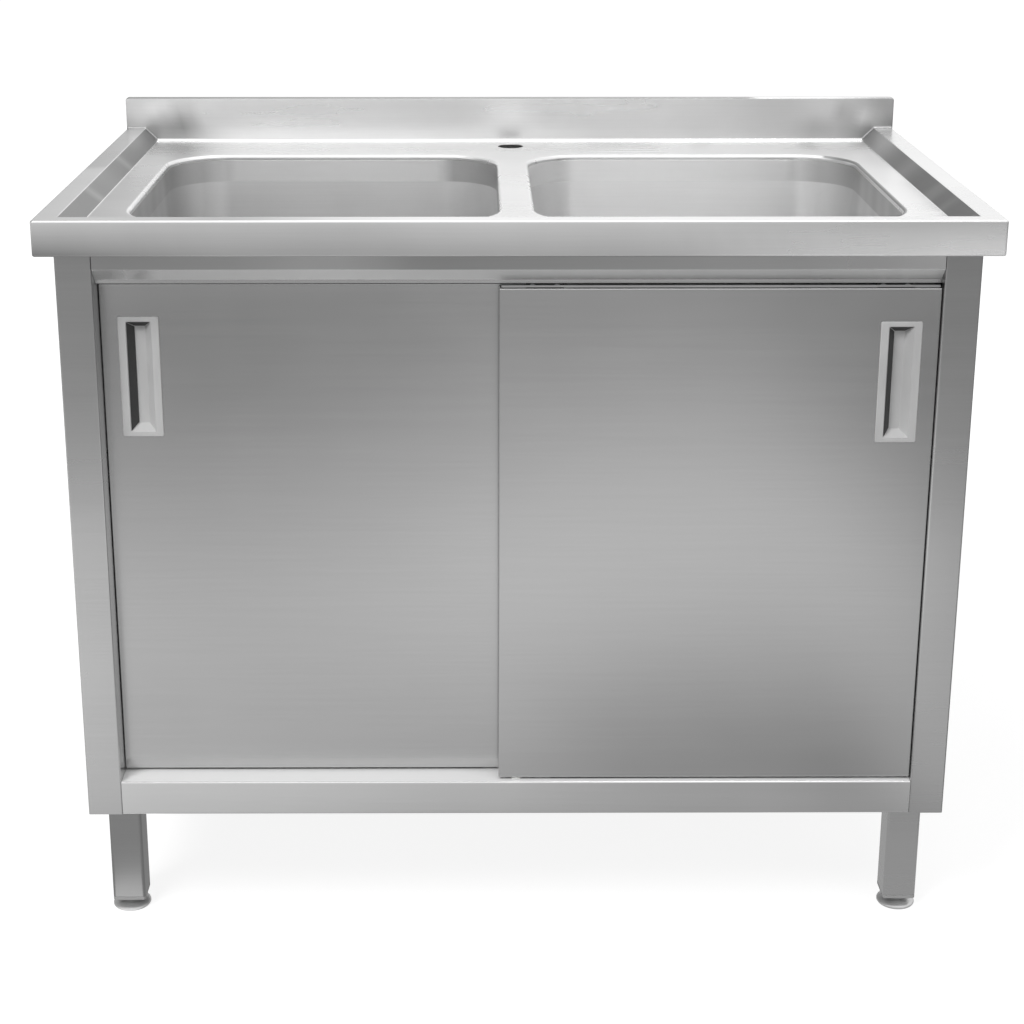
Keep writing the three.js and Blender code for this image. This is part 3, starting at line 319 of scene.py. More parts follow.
class Surface:
    """Grids of points that make one piece, welded where they meet."""

    def __init__(self):
        self.points, self.faces, self.ground, self.matt, self.count = [], [], [], [], 0

    def grid(self, points, closed=False, keep=None, ground=0.0, matt=0.0):
        """Adds a grid of shape (rows, columns, 3); a closed one joins its last column to its first.

        `keep` says which of its faces stay. `ground` is how far each point is dulled
        by grinding and darkened as painted shade, or polished and brightened as painted highlight
        where it is negative, and `matt` how far it is made pale and dull, for a
        blasting finish and as painted highlight.
        """
        rows, columns = points.shape[:2]
        index = self.count + np.arange(rows * columns).reshape(rows, columns)
        if closed:
            index = np.concatenate([index, index[:, :1]], axis=1)
        quads = np.stack([index[:-1, :-1], index[:-1, 1:], index[1:, 1:], index[1:, :-1]], axis=-1)
        quads = quads.reshape(-1, 4) if keep is None else quads[keep]
        self.faces += quads.tolist()
        self.points.append(points.reshape(-1, 3))
        self.ground.append(np.broadcast_to(ground, (rows, columns)).reshape(-1))
        self.matt.append(np.broadcast_to(matt, (rows, columns)).reshape(-1))
        self.count += rows * columns
        return self

    def lid(self, loop):
        """Adds one flat face round the loop."""
        self.faces.append(list(range(self.count, self.count + len(loop))))
        self.points.append(loop)
        self.ground.append(np.zeros(len(loop)))
        self.matt.append(np.zeros(len(loop)))
        self.count += len(loop)
        return self

    def tube(self, rings):
        """Adds rings of points joined one to the next, with a lid on the first and the last."""
        return self.grid(rings, closed=True).lid(rings[0]).lid(rings[-1])

    def prism(self, faces, place, stops, ground=0.0, matt=0.0):
        """Adds a folded sheet: both its faces carried from stop to stop, and closed at both ends.

        `ground` and `matt` are one number, or one for each stop
        and each point of the face.
        """
        face, other = faces
        ground, matt = (np.broadcast_to(value, (len(stops), len(face))) for value in (ground, matt))
        for end in (0, -1):
            rows = np.stack([place(line, stops[end]) for line in faces])
            self.grid(rows, ground=ground[end], matt=matt[end])
        both = [np.concatenate([value, value[:, ::-1]], axis=1) for value in (ground, matt)]
        rings = [place(np.concatenate([face, other[::-1]]), at) for at in stops]
        return self.grid(np.stack(rings), closed=True, ground=both[0], matt=both[1])

    def slab(self, low, high):
        """Adds a block between two corners."""
        loop = np.array([(low[0], low[1]), (high[0], low[1]), (high[0], high[1]), (low[0], high[1])])
        return self.tube(np.stack([flat(loop, low[2]), flat(loop, high[2])]))

    def mesh(self, name, facing=None):
        """One mesh of all the grids, its doubled points merged and its faces turned outwards.

        An open sheet has no outside, so its faces look the way that `facing` points.
        """
        mesh = bpy.data.meshes.new(name)
        mesh.from_pydata(np.concatenate(self.points).tolist(), [], self.faces)
        for tone_layer, values in (("ground", self.ground), ("matt", self.matt)):
            layer = mesh.attributes.new(tone_layer, "FLOAT", "POINT")
            layer.data.foreach_set("value", np.concatenate(values).astype(np.float32))
        shape = bmesh.new()
        shape.from_mesh(mesh)
        bmesh.ops.remove_doubles(shape, verts=shape.verts, dist=WELD)
        bmesh.ops.recalc_face_normals(shape, faces=shape.faces)
        if facing is not None:
            look = sum((face.normal * face.calc_area() for face in shape.faces), start=Vector())
            if look.dot(facing) < 0:
                bmesh.ops.reverse_faces(shape, faces=shape.faces)
        shape.to_mesh(mesh)
        shape.free()
        return mesh


def piece(context, surface, name, body, slot, nodes=(), facing=None, wall=0.0):
    """Makes a surface a finished piece that rides on a body and stands for CAD nodes."""
    made = bpy.data.objects.new(name, surface.mesh(name, facing))
    context.scene.collection.objects.link(made)
    if wall:
        sheet = made.modifiers.new("Gauge", "SOLIDIFY")
        sheet.thickness, sheet.offset, sheet.use_even_offset = wall, -1.0, True
        solid = bpy.data.meshes.new_from_object(made.evaluated_get(context.evaluated_depsgraph_get()))
        made.modifiers.clear()
        made.data = solid
    made.data.shade_smooth()
    made.data.set_sharp_from_angle(angle=CREASE)
    weighted = made.modifiers.new("Flat faces", "WEIGHTED_NORMAL")
    weighted.keep_sharp = True
    made.data.materials.append(finish(context, slot))
    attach(made, body)
    if nodes:
        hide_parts(*nodes)
    return made


# ---------------------------------------------------------------------------------------------
# Finishes
# ---------------------------------------------------------------------------------------------


class Nodes:
    """Shader nodes of one material or world, made and linked in one call each."""

    def __init__(self, tree):
        self.tree = tree
        tree.nodes.clear()

    def make(self, kind, inputs=(), **settings):
        """A node; an input is a number, a colour, or another node's output."""
        made = self.tree.nodes.new("ShaderNode" + kind)
        for key, value in settings.items():
            setattr(made, key, value)
        for key, value in dict(inputs).items():
            if isinstance(value, bpy.types.NodeSocket):
                self.tree.links.new(value, made.inputs[key])
            else:
                made.inputs[key].default_value = value
        return made

    def math(self, operation, first, second=0.0, third=0.0):
        """The result of a sum such as ADD on numbers or outputs."""
        made = self.make("Math", {0: first, 1: second, 2: third}, operation=operation)
        return made.outputs[0]

    def noise(self, coordinates, stretch, detail=2.0, rough=0.5):
        """Noise on coordinates stretched by three numbers of periods to the metre."""
        spread = self.make("Mapping", {"Vector": coordinates, "Scale": stretch})
        made = self.make(
            "TexNoise",
            {"Vector": spread.outputs[0], "Scale": 1.0, "Detail": detail, "Roughness": rough},
        )
        return made.outputs[0]

    def spread(self, value, low, high, start=0.35, end=0.65):
        """The value's range from start to end carried to low..high."""
        made = self.make("MapRange", {0: value, 1: start, 2: end, 3: low, 4: high})
        return made.outputs[0]

    def blend(self, share, first, second):
        """The first colour, and the second one where the share is 1."""
        made = self.make("Mix", {0: share, 6: first, 7: second}, data_type="RGBA")
        return made.outputs[2]

    def attribute(self, name):
        """A number that the mesh holds for each point."""
        return self.make("Attribute", attribute_name=name, attribute_type="GEOMETRY").outputs["Fac"]


def blank_material(name):
    """A new material, its empty nodes and the coordinates that its patterns follow."""
    material = bpy.data.materials.new(name)
    material.use_nodes = True
    n = Nodes(material.node_tree)
    return material, n, n.make("TexCoord").outputs["Object"]


# periods to the metre of the brushed grain, along the sheet and across it
GRAIN = {"x": (7.0, 420.0, 420.0), "level": (7.0, 7.0, 420.0), "z": (420.0, 420.0, 7.0)}
PALE_BLAST_AND_PAINTED_LIGHT = (0.92, 0.92, 0.92, 1.0)
RELIEF = 0.0001  # height of a finish's bumps


def steel(name, tint, roughness, along, contrast=0.06, patches=0.05):
    """Brushed stainless steel: fine grain along X or Z, or level, and uneven patches.

    The grain and the patches shade the colour and the roughness; the grain also makes the bump.
    Where ground is high it is darker and duller, for grinding and as painted
    shade, and brighter where it is negative, for polish and as painted highlight; where
    matt is high it is pale and hardly mirrors, for a blasting finish and as
    painted highlight.
    """
    material, n, place = blank_material(name)
    grain = n.noise(place, GRAIN[along], detail=3.0, rough=0.6)
    bands = n.noise(place, tuple(g / 6 for g in GRAIN[along]), detail=2.0)
    patch = n.noise(place, (3.1, 3.7, 3.3), detail=3.0, rough=0.6)
    ground, matt = n.attribute("ground"), n.attribute("matt")
    half = contrast / 2
    tone = n.math("ADD", n.spread(grain, -contrast, contrast), n.spread(bands, -half, half))
    tone = n.math("ADD", tone, n.spread(patch, 1 - patches, 1 + patches))
    tone = n.math("MULTIPLY", tone, n.spread(ground, 1.2, 0.2, -0.4, 1.6))
    shaded = n.make("Mix", {0: 1.0, 6: (*tint, 1.0), 7: tone}, data_type="RGBA", blend_type="MULTIPLY")
    shaded = n.blend(matt, shaded.outputs[2], PALE_BLAST_AND_PAINTED_LIGHT)
    gloss = n.math("ADD", n.spread(bands, roughness - half, roughness + half), n.spread(patch, -0.01, 0.01))
    gloss = n.math("ADD", gloss, n.spread(ground, 0.0, 0.12, 0.0, 1.0))
    bump = n.make("Bump", {"Height": grain, "Strength": 0.02, "Distance": RELIEF})
    shader = n.make(
        "BsdfPrincipled",
        {
            "Base Color": shaded,
            "Metallic": n.spread(matt, 1.0, 0.15, 0.0, 1.0),
            "Roughness": gloss,
            "Normal": bump.outputs[0],
        },
    )
    n.make("OutputMaterial", {"Surface": shader.outputs[0]})
    return material


def chrome(name, tint):
    """Chromed brass: bright, with water marks that dull it here and there."""
    material, n, place = blank_material(name)
    marks = n.noise(place, (90.0, 90.0, 90.0), detail=4.0, rough=0.6)
    dulled = (*(channel * 0.9 for channel in tint), 1.0)
    shader = n.make(
        "BsdfPrincipled",
        {
            "Base Color": n.blend(n.spread(marks, 0.0, 1.0), (*tint, 1.0), dulled),
            "Metallic": 1.0,
            "Roughness": n.spread(marks, 0.08, 0.2),
        },
    )
    n.make("OutputMaterial", {"Surface": shader.outputs[0]})
    return material


def moulding(name, tint, roughness, texture=900.0):
    """Moulded plastic, rubbery seals and die casting: a fine spark-eroded texture and slight flow marks; the
    dark pads of painted shade in the handles use it too.
    """
    material, n, place = blank_material(name)
    fine = n.noise(place, (texture, texture, texture), detail=2.0)
    flow = n.noise(place, (35.0, 35.0, 14.0), detail=2.0)
    darker = (*(channel * 0.95 for channel in tint), 1.0)
    paler = (*(min(channel * 1.05, 1.0) for channel in tint), 1.0)
    tone = n.blend(n.spread(flow, 0.0, 1.0), darker, paler)
    bump = n.make("Bump", {"Height": fine, "Strength": 0.15, "Distance": RELIEF})
    shader = n.make(
        "BsdfPrincipled",
        {
            "Base Color": tone,
            "Roughness": n.spread(fine, roughness - 0.05, roughness + 0.05),
            "Normal": bump.outputs[0],
        },
    )
    n.make("OutputMaterial", {"Surface": shader.outputs[0]})
    return material


def finish(context, slot):
    """The material of one of the record's slots, made the first time that it is asked for.

    A row of the table is the function that makes it and what that is given: the colour, the
    roughness and, for steel, the grain's way and how far the grain and the patches shade it.
    """
    made = bpy.data.materials.get("finish_" + slot)
    if made:
        return made
    tint = context.scene.sink_unit.finish
    makers = {
        "worktop_steel": (steel, tint.worktop, 0.28, "x", 0.012, 0.05),
        "bowl_steel": (steel, tint.bowl, 0.32, "x", 0.012, 0.07),
        "cabinet_steel": (steel, tint.cabinet, 0.25, "level", 0.012, 0.03),
        "door_steel": (steel, tint.door, 0.24, "x", 0.01, 0.02),
        "mill_steel": (steel, tint.mill, 0.45, "level", 0.05, 0.08),
        "dark_steel": (steel, tint.hanger, 0.5, "x", 0.03),
        "foot_steel": (steel, tint.cabinet, 0.4, "z", 0.03),
        "waste_chrome": (chrome, tint.chrome),
        "seal_rubber": (moulding, tint.rubber_and_shade, 0.75, 500.0),
        "handle_grey": (moulding, tint.handle, 0.45),
        "nylon": (moulding, tint.nylon, 0.5),
        "cap_grey": (moulding, tint.cap, 0.55),
    }
    maker, *values = makers[slot]
    return maker("finish_" + slot, *values)


# ---------------------------------------------------------------------------------------------
# Operators
# ---------------------------------------------------------------------------------------------


class SINKUNIT_OT_worktop(bpy.types.Operator):
    """Builds the worktop's sheet with its rim, apron and openings, and its upstand"""

    bl_idname = "sinkunit.worktop"
    bl_label = "Worktop"

    def execute(self, context):
        settings = context.scene.sink_unit
        low, high = node_box("worktop")
        sheet = worktop_sheet(settings.worktop, settings.bowls, low, high)
        piece(
            context, sheet, "worktop_sheet", "cabinet", "worktop_steel", ["worktop"],
            facing=(0, 0, 1), wall=settings.worktop.gauge,
        )
        piece(context, upstand(settings.worktop, low, high), "worktop_upstand", "cabinet", "worktop_steel")
        return {"FINISHED"}


def bowl_centre(bowls, low, side):
    """Middle of a bowl's opening."""
    return np.array([side * (bowls.gap + bowls.width) / 2, low[1] + bowls.front + bowls.length / 2])


def bowl_loop(bowls, low, side, offset, straight=8):
    """A bowl's opening, or the line at an offset outside it."""
    return rounded_loop(
        bowls.width / 2 + offset, bowls.length / 2 + offset, bowls.corner + offset,
        bowl_centre(bowls, low, side), straight=straight,
    )


def worktop_sheet(top, bowls, low, high):
    """The pressed sheet, without the upstand.

    The recess is a flat field with rings round both openings and the tap hole. Its border, the
    slope, the rim and the apron are one profile carried round the left, front and right sides,
    with mitred corners that are rounded at the apron. At the back all of it turns up in a cove.
    """
    surface = Surface()
    rim = high[2] - top.upstand
    recess = rim - top.slope
    rear = high[1] - top.upstand_thickness - top.cove
    side, nose = (worktop_profile(top, recess, width) for width in (top.rim_side, top.rim_front))
    half = high[0] - top.rim_side - top.slope
    front = low[1] + top.rim_front + top.slope
    inner_x, inner_y = half + side[0, 0], front - nose[0, 0]

    # columns from the recess's left side over the tap hole's field to the middle, and rows from
    # its front to the strip behind the bowls
    tap_half, beside_tap = 0.0425, 19
    strip = rear - 0.085
    left = np.concatenate([np.linspace(-inner_x, -tap_half, beside_tap), np.linspace(-tap_half, 0, 7)[1:]])
    depth = np.linspace(inner_y, strip, 25)
    for _, sign in SIDES:
        field = rectangle_loop(left if sign < 0 else -left[::-1], depth)
        bowl_field(surface, top, bowls, low, sign, field, recess)
    for across in (left[:beside_tap], -left[:beside_tap][::-1]):
        rows = joined(across, np.array([[strip], [rear]]), recess)
        surface.grid(rows, matt=recess_paler_to_right(rows[..., 0]))
    middle = np.concatenate([left[beside_tap - 1:], -left[beside_tap - 1:-1][::-1]])
    field = rectangle_loop(middle, np.linspace(strip, rear, len(middle)))
    tap_field(surface, top, (0.0, high[1] - top.upstand_thickness - top.tap_setback), field, recess)
    across = np.concatenate([left, -left[:-1][::-1]])
    a = np.linspace(0, math.pi / 2, 7)[:, None]
    surface.grid(joined(across, rear + top.cove * np.sin(a), recess + top.cove * (1 - np.cos(a))))

    # the border: up the cove, along the left side, round the corner and to the middle of the
    # front, and then the mirror image of that
    run_in, z = side[:, :1], side[:, 1:]
    x, y = half + run_in, front - nose[:, :1]
    corner = np.maximum(0, top.corner - (high[0] - x))
    # the cove fades out over the points of the rim's outer fold
    level = np.clip((edge_start(side, top) - np.arange(len(z))) / 6 + 1, 0, 1)[:, None]
    a = np.linspace(math.pi / 2, 0, 7)
    coved = joined(-x, rear + top.cove * np.sin(a), z + level * top.cove * (1 - np.cos(a)))
    share = (np.concatenate([[strip], depth[::-1][1:]]) - rear) / (inner_y - rear)
    along = joined(-x, rear + share * (y + corner - rear), z)
    a = np.linspace(math.pi, 1.5 * math.pi, 7)[1:]
    turn = joined(-(x - corner) + corner * np.cos(a), y + corner + corner * np.sin(a), z)
    before = joined((x - corner) * (left[1:] / inner_x), y, z)
    near = np.concatenate([coved, along, turn, before], axis=1)
    whole = np.concatenate([near, near[:, -2::-1] * (-1, 1, 1)], axis=1)
    tuck = (0, 0.0016, 0)  # the ends run on a little way into the upstand
    points = np.concatenate([whole[:, :1] + tuck, whole, whole[:, -1:] + tuck], axis=1)

    # its tones: slopes darkened for grinding and as painted shade, with paler slanting bands;
    # an apron with painted shade on the left and a painted highlight, pale and dull, on the right;
    # a rim paler as painted highlight but for its left rear part, with a painted dark spot at its
    # front left; and painted shade in the cove
    at_x, at_y, at_z = np.moveaxis(points, -1, 0)
    on_slope = (run_in > 0.0004) & (run_in < top.slope - 0.0004) & (z > recess)
    on_rim = z > rim - LEVEL
    on_apron = (z < rim - top.edge_radius) & (at_y < front)
    on_cove = (at_y > rear + 0.0002) & (run_in > top.slope)
    ground = on_slope * (np.where(at_x < 0, 1.38, 1.32) - weld_marks_and_highlights(at_y + 0.6 * at_z, at_x < 0))
    ground += on_apron * np.interp(at_x, (-0.5, -0.3, 0.15, 0.28, 0.45), (1.3, 0.8, 0.6, 0.0, -0.4))
    ground += on_rim * (at_y < front) * 0.5 * np.exp(-(((at_x + 0.3) / 0.1) ** 2))
    painted_highlight = on_rim & ~on_cove & ((at_y < 0) | (at_x > 0))
    matt = painted_highlight * np.interp(at_x, (-0.45, -0.3, -0.1), (0.3, 0.0, 0.25))
    matt += on_apron * np.interp(at_x, (0.2, 0.45), (0.0, 0.45))
    return surface.grid(points, ground=np.where(on_cove, 1.0, ground), matt=matt)


def worktop_profile(top, recess, width):
    """Points (run, height) from the recess over the slope, the rim and the apron to its lip."""
    border = 0.003  # the flat part inside the slope
    rim, edge = recess + top.slope, top.slope + width
    bottom = rim - top.apron
    corners = [
        (-border, recess), (0, recess), (top.slope, rim), (edge, rim),
        (edge, bottom), (edge - top.apron_return, bottom),
    ]
    return bent(corners, [top.edge_radius] * 4)


def tap_field(surface, top, centre, field, recess):
    """Adds the recess round the tap hole: rings from the field's outline over the soft edge."""
    soft = 0.0003
    rings = [flat(field, recess)]
    for margin, drop in ((0.004, 0.0), (soft, 0.0), (0.0, soft)):
        rings.append(flat(circle_loop(top.tap_hole / 2 + margin, len(field), centre), recess - drop))
    rings = np.stack(rings)
    surface.grid(rings, closed=True, matt=recess_paler_to_right(rings[..., 0]))


def bowl_field(surface, top, bowls, low, sign, field, recess):
    """Adds the recess round one bowl: rings from the field's outline to the opening, then over
    its rolled edge, inset by r (1 - sin a) at a drop of r (1 - cos a), and down its neck."""
    rings = [flat(field, recess), flat(bowl_loop(bowls, low, sign, top.lip + 0.001), recess)]
    for a in np.linspace(0, math.pi / 2, 9):
        offset, drop = top.lip * (1 - math.sin(a)), top.lip * (1 - math.cos(a))
        rings.append(flat(bowl_loop(bowls, low, sign, offset), recess - drop))
    rings.append(flat(bowl_loop(bowls, low, sign, 0.0), recess - top.neck - FIT * 0.8))
    rings = np.stack(rings)
    # painted highlight: the rolled edge is paler; painted shade: it is darker at the right bowl's far
    # corner; the recess round it is paler to the right
    number = np.arange(len(rings))[:, None]
    rolled = (number >= 3) & (number < 8)
    far_corner = sign * rings[1][:, 0] > bowls.gap / 2 + bowls.width - 0.03
    dark = rolled * (far_corner & (sign > 0)) * 1.0
    pale = np.maximum((number < 2) * recess_paler_to_right(rings[..., 0]), rolled * 0.6 * (1 - dark))
    surface.grid(rings, closed=True, ground=dark, matt=pale)


def recess_paler_to_right(x):
    """The recess is paler and duller to the right: a blasting finish, and painted light."""
    return np.interp(x, (0.0, 0.15), (0.0, 0.65))


def weld_marks_and_highlights(place, left):
    """How much brighter the slopes are, in slanting bands: weld marks where they were touched up, and
    painted highlights.
    """
    bands = np.zeros_like(place)
    for on_left, centre, width, depth in (
        (True, 0.585, 0.012, 0.25), (True, 0.395, 0.010, 0.30), (True, 0.47, 0.05, 0.08),
        (True, 0.74, 0.06, 0.35), (False, 0.72, 0.09, 0.8),
        (False, 0.545, 0.035, 0.30), (False, 0.40, 0.014, 0.28), (False, 0.335, 0.008, 0.20),
    ):
        bands += (left == on_left) * depth * np.exp(-(((place - centre) / width) ** 2))
    return bands


def edge_start(side, top):
    """Index of the profile's point at which the rim turns down into the apron."""
    return int(np.argmax(side[:, 0] >= top.slope + top.rim_side - top.edge_radius - 1e-6))


def upstand(top, low, high):
    """The upstand: a slab whose upper corners and long edges are rounded.

    Its rings are rectangles with round corners, inset at both faces by a quarter circle. On the
    front, more rings carry the upper side down, share by share, to a narrow strip behind the
    apron. Its tones are painted shade and painted highlights, and a few darker and paler spots lie
    near the ends; the stops run from left to right.
    """
    radius = 0.0015  # rounding of the long edges
    strip_height, strip_rise, strip_inset = 0.009, 0.004, 0.02
    front, rear = high[1] - top.upstand_thickness, high[1]
    rounding = np.array([top.upstand_corner, top.upstand_corner, 0.002, 0.002])
    rings = []

    def ring(depth, inset, fall=0.0):
        above = high[2] - inset - fall * (high[2] - low[2] - strip_height)
        below = low[2] + inset + fall * strip_rise
        inset += strip_inset * fall
        corners = np.maximum(rounding - inset, 0.0003)
        centre, half = (0, (above + below) / 2), (above - below) / 2
        rings.append(upright(rounded_loop(high[0] - inset, half, corners, centre, straight=64), depth))

    for share in np.linspace(1, 0, 12)[:-1]:
        ring(front, radius, share)
    a = np.linspace(0, math.pi / 2, 6)
    for depth, inset in [
        *zip(front + radius * (1 - np.cos(a)), radius * (1 - np.sin(a))),
        *zip(rear - radius * (1 - np.sin(a)), radius * (1 - np.cos(a))),
    ]:
        ring(depth, inset)
    rings = np.stack(rings)
    x, y, z = np.moveaxis(rings, -1, 0)
    # painted shade and painted highlights: darker towards the foot, tones from left to right, a dark upper
    # edge on the left and paler patches; the spots near the ends are darker and paler
    lowness = np.interp(z, (high[2] - 0.040, high[2] - 0.017), (1.0, 0.0))
    evenly, foot, head = (
        np.interp(x, stops, tones) for stops, tones in (
            ((-0.48, -0.42, -0.30, 0.0, 0.3, 0.42, 0.48), (0.4, 0.2, -0.5, -0.3, 0.2, 0.5, 1.1)),
            ((-0.44, -0.37, -0.17, 0.14, 0.30, 0.38, 0.44), (0.55, 0.15, 0.4, 0.45, 0.45, 0.35, 0.24)),
            ((-0.46, -0.38, -0.25, 0.36, 0.44), (-0.3, -0.35, 0.0, -0.05, -0.3)),
        )
    )
    ground = evenly + lowness * foot + (1 - lowness) * head
    for spot_x, spot_z, width, depth in (
        (-0.425, 0.862, 0.020, 0.7), (-0.455, 0.876, 0.012, -0.3), (-0.38, 0.875, 0.02, 0.15),
        (0.435, 0.872, 0.014, 0.45), (0.462, 0.862, 0.012, -0.45), (0.40, 0.856, 0.02, 0.25),
    ):
        ground += depth * np.exp(-((x - spot_x) ** 2 + (z - spot_z) ** 2) / width**2)
    edge = (z > high[2] - radius) & (x < 0.31)
    ground = np.where(edge, 1.2, ground)
    matt = np.interp(x, (-0.42, -0.35, -0.1, 0.3, 0.42), (0.0, 0.25, 0.1, 0.12, 0.0)) * ~edge
    fore = y < rear - radius * 1.01  # the rear face and its edge are plain
    surface = Surface().grid(rings, closed=True, ground=ground * fore, matt=matt * fore)
    return surface.lid(rings[0]).lid(rings[-1])


class SINKUNIT_OT_bowls(bpy.types.Operator):
    """Builds both welded bowls and their waste fittings"""

    bl_idname = "sinkunit.bowls"
    bl_label = "Bowls"

    def execute(self, context):
        settings = context.scene.sink_unit
        low, high = node_box("worktop")
        recess = high[2] - settings.worktop.upstand - settings.worktop.slope
        for word, side in SIDES:
            piece(
                context, bowl_shell(settings.bowls, low, recess, side), f"bowl_shell_{word}", "cabinet",
                "bowl_steel", [f"bowl_{word}"], facing=(0, 0, 1), wall=settings.bowls.gauge,
            )
            centre = bowl_centre(settings.bowls, low, side)
            piece(
                context, waste_body(f"waste_body_{word}", centre), f"waste_{word}", "cabinet",
                "waste_chrome", [f"waste_body_{word}"],
            )
        return {"FINISHED"}


def bowl_shell(bowls, low, recess, side):
    """A bowl: an upright collar, drafted walls, a cove and a floor that falls to the waste's seat.

    Each ring is the opening at an offset and a height; on the floor the rings change from the
    rounded square to the seat's circle in even steps. Its tones and streaks are painted shade and
    painted highlights; their stops run from the middle of the bowl to its outer side, away from
    the other bowl.
    """
    centre = bowl_centre(bowls, low, side)
    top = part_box("bowl_left")[1][2]
    collar = top - bowls.collar
    cove_top = recess - bowls.depth + bowls.cove
    lean = (top - cove_top) * math.tan(bowls.draft)
    floor = recess - bowls.depth
    rings = []

    def ring(offset, z):
        rings.append(flat(bowl_loop(bowls, low, side, offset, straight=28), z))

    bend = 0.0004  # of the flange, and of the step between collar and wall
    ring(bowls.gauge + bowls.flange, top)
    ring(bend, top)
    ring(0.0, top - bend)
    ring(-bend / 4, collar + bend)
    ring(-bend, collar - bend)
    drawn = len(rings) - 1  # below this ring the wall has the satin finish of the drawn bowl, and its own painted shade and highlights
    for share in np.linspace(0, 1, 7)[1:]:
        z = (collar - bend) * (1 - share) + cove_top * share
        ring(-bend - (lean - bend) * share, z)
    for a in np.linspace(0, math.pi / 2, 11)[1:]:
        ring(-lean - bowls.cove * (1 - math.cos(a)), cove_top - bowls.cove * math.sin(a))
    rim = rings[-1][:, :2]
    seat_edge = bowls.seat + 0.0015
    seat = circle_loop(seat_edge, len(rim), centre)
    for share in np.linspace(0, 1, 11)[1:]:
        rings.append(flat(rim * (1 - share) + seat * share, floor - bowls.fall * share))
    for inset, share in ((0.0006, 0.1), (0.0015, 0.5), (0.0022, 0.9), (0.003, 1.0), (0.019, 1.0)):
        loop = circle_loop(seat_edge - inset, len(rim), centre)
        rings.append(flat(loop, floor - bowls.fall - bowls.seat_depth * share))
    rings = np.stack(rings)
    out, back = np.moveaxis((rings[..., :2] - centre) * (side, 1), -1, 0)
    inner = 0.8 if side < 0 else -0.4
    collar_stops = (-0.16, -0.145, -0.13, 0.125, 0.145, 0.17, 0.19, 0.2)
    collar_tone = np.interp(out, collar_stops, (inner, inner, -0.4, -0.4, 0.4, 0.9, 0.9, 1.0))
    tones = (-0.1, 0.2, 0.25, 0.2, 0.4, 0.8) if side < 0 else (-0.1, -0.2, -0.2, -0.35, 0.1, 0.6)
    wall_tone = np.interp(out, (-0.2, -0.12, 0.0, 0.12, 0.16, 0.2), tones)
    streaks = 0.12 * np.sin(90 * back) * np.sin(37 * back + 1) * (out > 0.17)
    above = (np.arange(len(rings)) < drawn)[:, None]
    ground = np.where(above, collar_tone, wall_tone) + streaks
    return Surface().grid(rings, closed=True, ground=ground, matt=0.15)


def waste_body(node, centre):
    """The waste: a turned flange and tail, and a strainer of seven round holes.

    The strainer's holes are each a ring between a circle and its own cell: a hexagon in the
    middle, and six cells between it and the plate's edge.
    """
    surface = Surface()
    low, high = node_box(node)
    rim, top = (high[0] - low[0]) / 2, high[2]
    tail, bore, plate = 0.024, 0.021, 0.0215
    sunk, under = top - 0.002, top - 0.0038  # the strainer plate's two faces
    profile = [
        (plate, sunk), (plate + 0.0008, sunk + 0.0003), (tail + 0.0015, top - 0.0004), (tail + 0.003, top),
        (rim - 0.0035, top), (rim - 0.0018, top - 0.0004), (rim - 0.0006, top - 0.0011), (rim, top - 0.0019),
        (rim, top - 0.0025), (tail, top - 0.0025), (tail, low[2] + 0.0004), (tail - 0.0004, low[2]),
        (bore, low[2]), (bore, under), (plate - 0.0005, under),
    ]
    surface.grid(turned(profile, (*centre, 0), steps=96), closed=True)
    hole, circle, hexagon = 0.0035, 0.013, 0.0066
    count = 24
    side = np.linspace(0, 1, count // 4 + 1)[:, None]
    for k in range(6):
        corners = np.radians([30 + 60 * k, 90 + 60 * k])
        inner = hexagon * np.stack([np.cos(corners), np.sin(corners)], axis=1)
        sweep = np.linspace(corners[0], corners[1], count // 4 + 1)
        walls = []
        for z, radius in ((sunk, plate), (under, plate - 0.0005)):
            rim_arc = radius * np.stack([np.cos(sweep), np.sin(sweep)], axis=1)
            cell = np.concatenate([
                rim_arc[:-1],
                (rim_arc[-1] * (1 - side) + inner[1] * side)[:-1],
                (inner[1] * (1 - side) + inner[0] * side)[:-1],
                (inner[0] * (1 - side) + rim_arc[0] * side)[:-1],
            ])
            middle = circle * np.array([math.cos(np.mean(corners)), math.sin(np.mean(corners))])
            bearing = np.arctan2(*(cell[0] - middle)[::-1]) + 2 * math.pi * np.arange(count) / count
            ring = middle + hole * np.stack([np.cos(bearing), np.sin(bearing)], axis=1)
            walls.append(flat(ring + centre, z))
            surface.grid(np.stack([flat(cell + centre, z), walls[-1]]), closed=True)
        surface.grid(np.stack(walls), closed=True)
        # the middle cell's share: a patch between one side of the hexagon and the middle hole
        arc = hole * np.stack([np.cos(sweep), np.sin(sweep)], axis=1)
        edge = inner[0] * (1 - side) + inner[1] * side
        for z in (sunk, under):
            surface.grid(np.stack([flat(edge + centre, z), flat(arc + centre, z)]))
        surface.grid(np.stack([flat(arc + centre, sunk), flat(arc + centre, under)]))
    return surface


class SINKUNIT_OT_cabinet(bpy.types.Operator):
    """Builds the side panels, the shelf, the fascia and the rear track"""

    bl_idname = "sinkunit.cabinet"
    bl_label = "Cabinet"

    def execute(self, context):
        cabinet = context.scene.sink_unit.cabinet
        for word, side in SIDES:
            node = f"side_panel_{word}"
            panel = side_panel(cabinet, node, side)
            piece(context, panel, f"side_{word}", "cabinet", "cabinet_steel", [node])
        for surface, name, node in (
            (shelf(cabinet), "shelf_tray", "bottom_shelf"),
            (fascia(cabinet), "fascia", "front_rail"),
            (inner_track(cabinet), "inner_track", "rear_track"),
        ):
            piece(context, surface, name, "cabinet", "cabinet_steel", [node])
        piece(context, rear_rivets(), "rear_rivets", "cabinet", "foot_steel")
        return {"FINISHED"}


def along_x(outline, x):
    """An outline of (y, z) points at one x."""
    return np.column_stack([np.full(len(outline), x), outline])


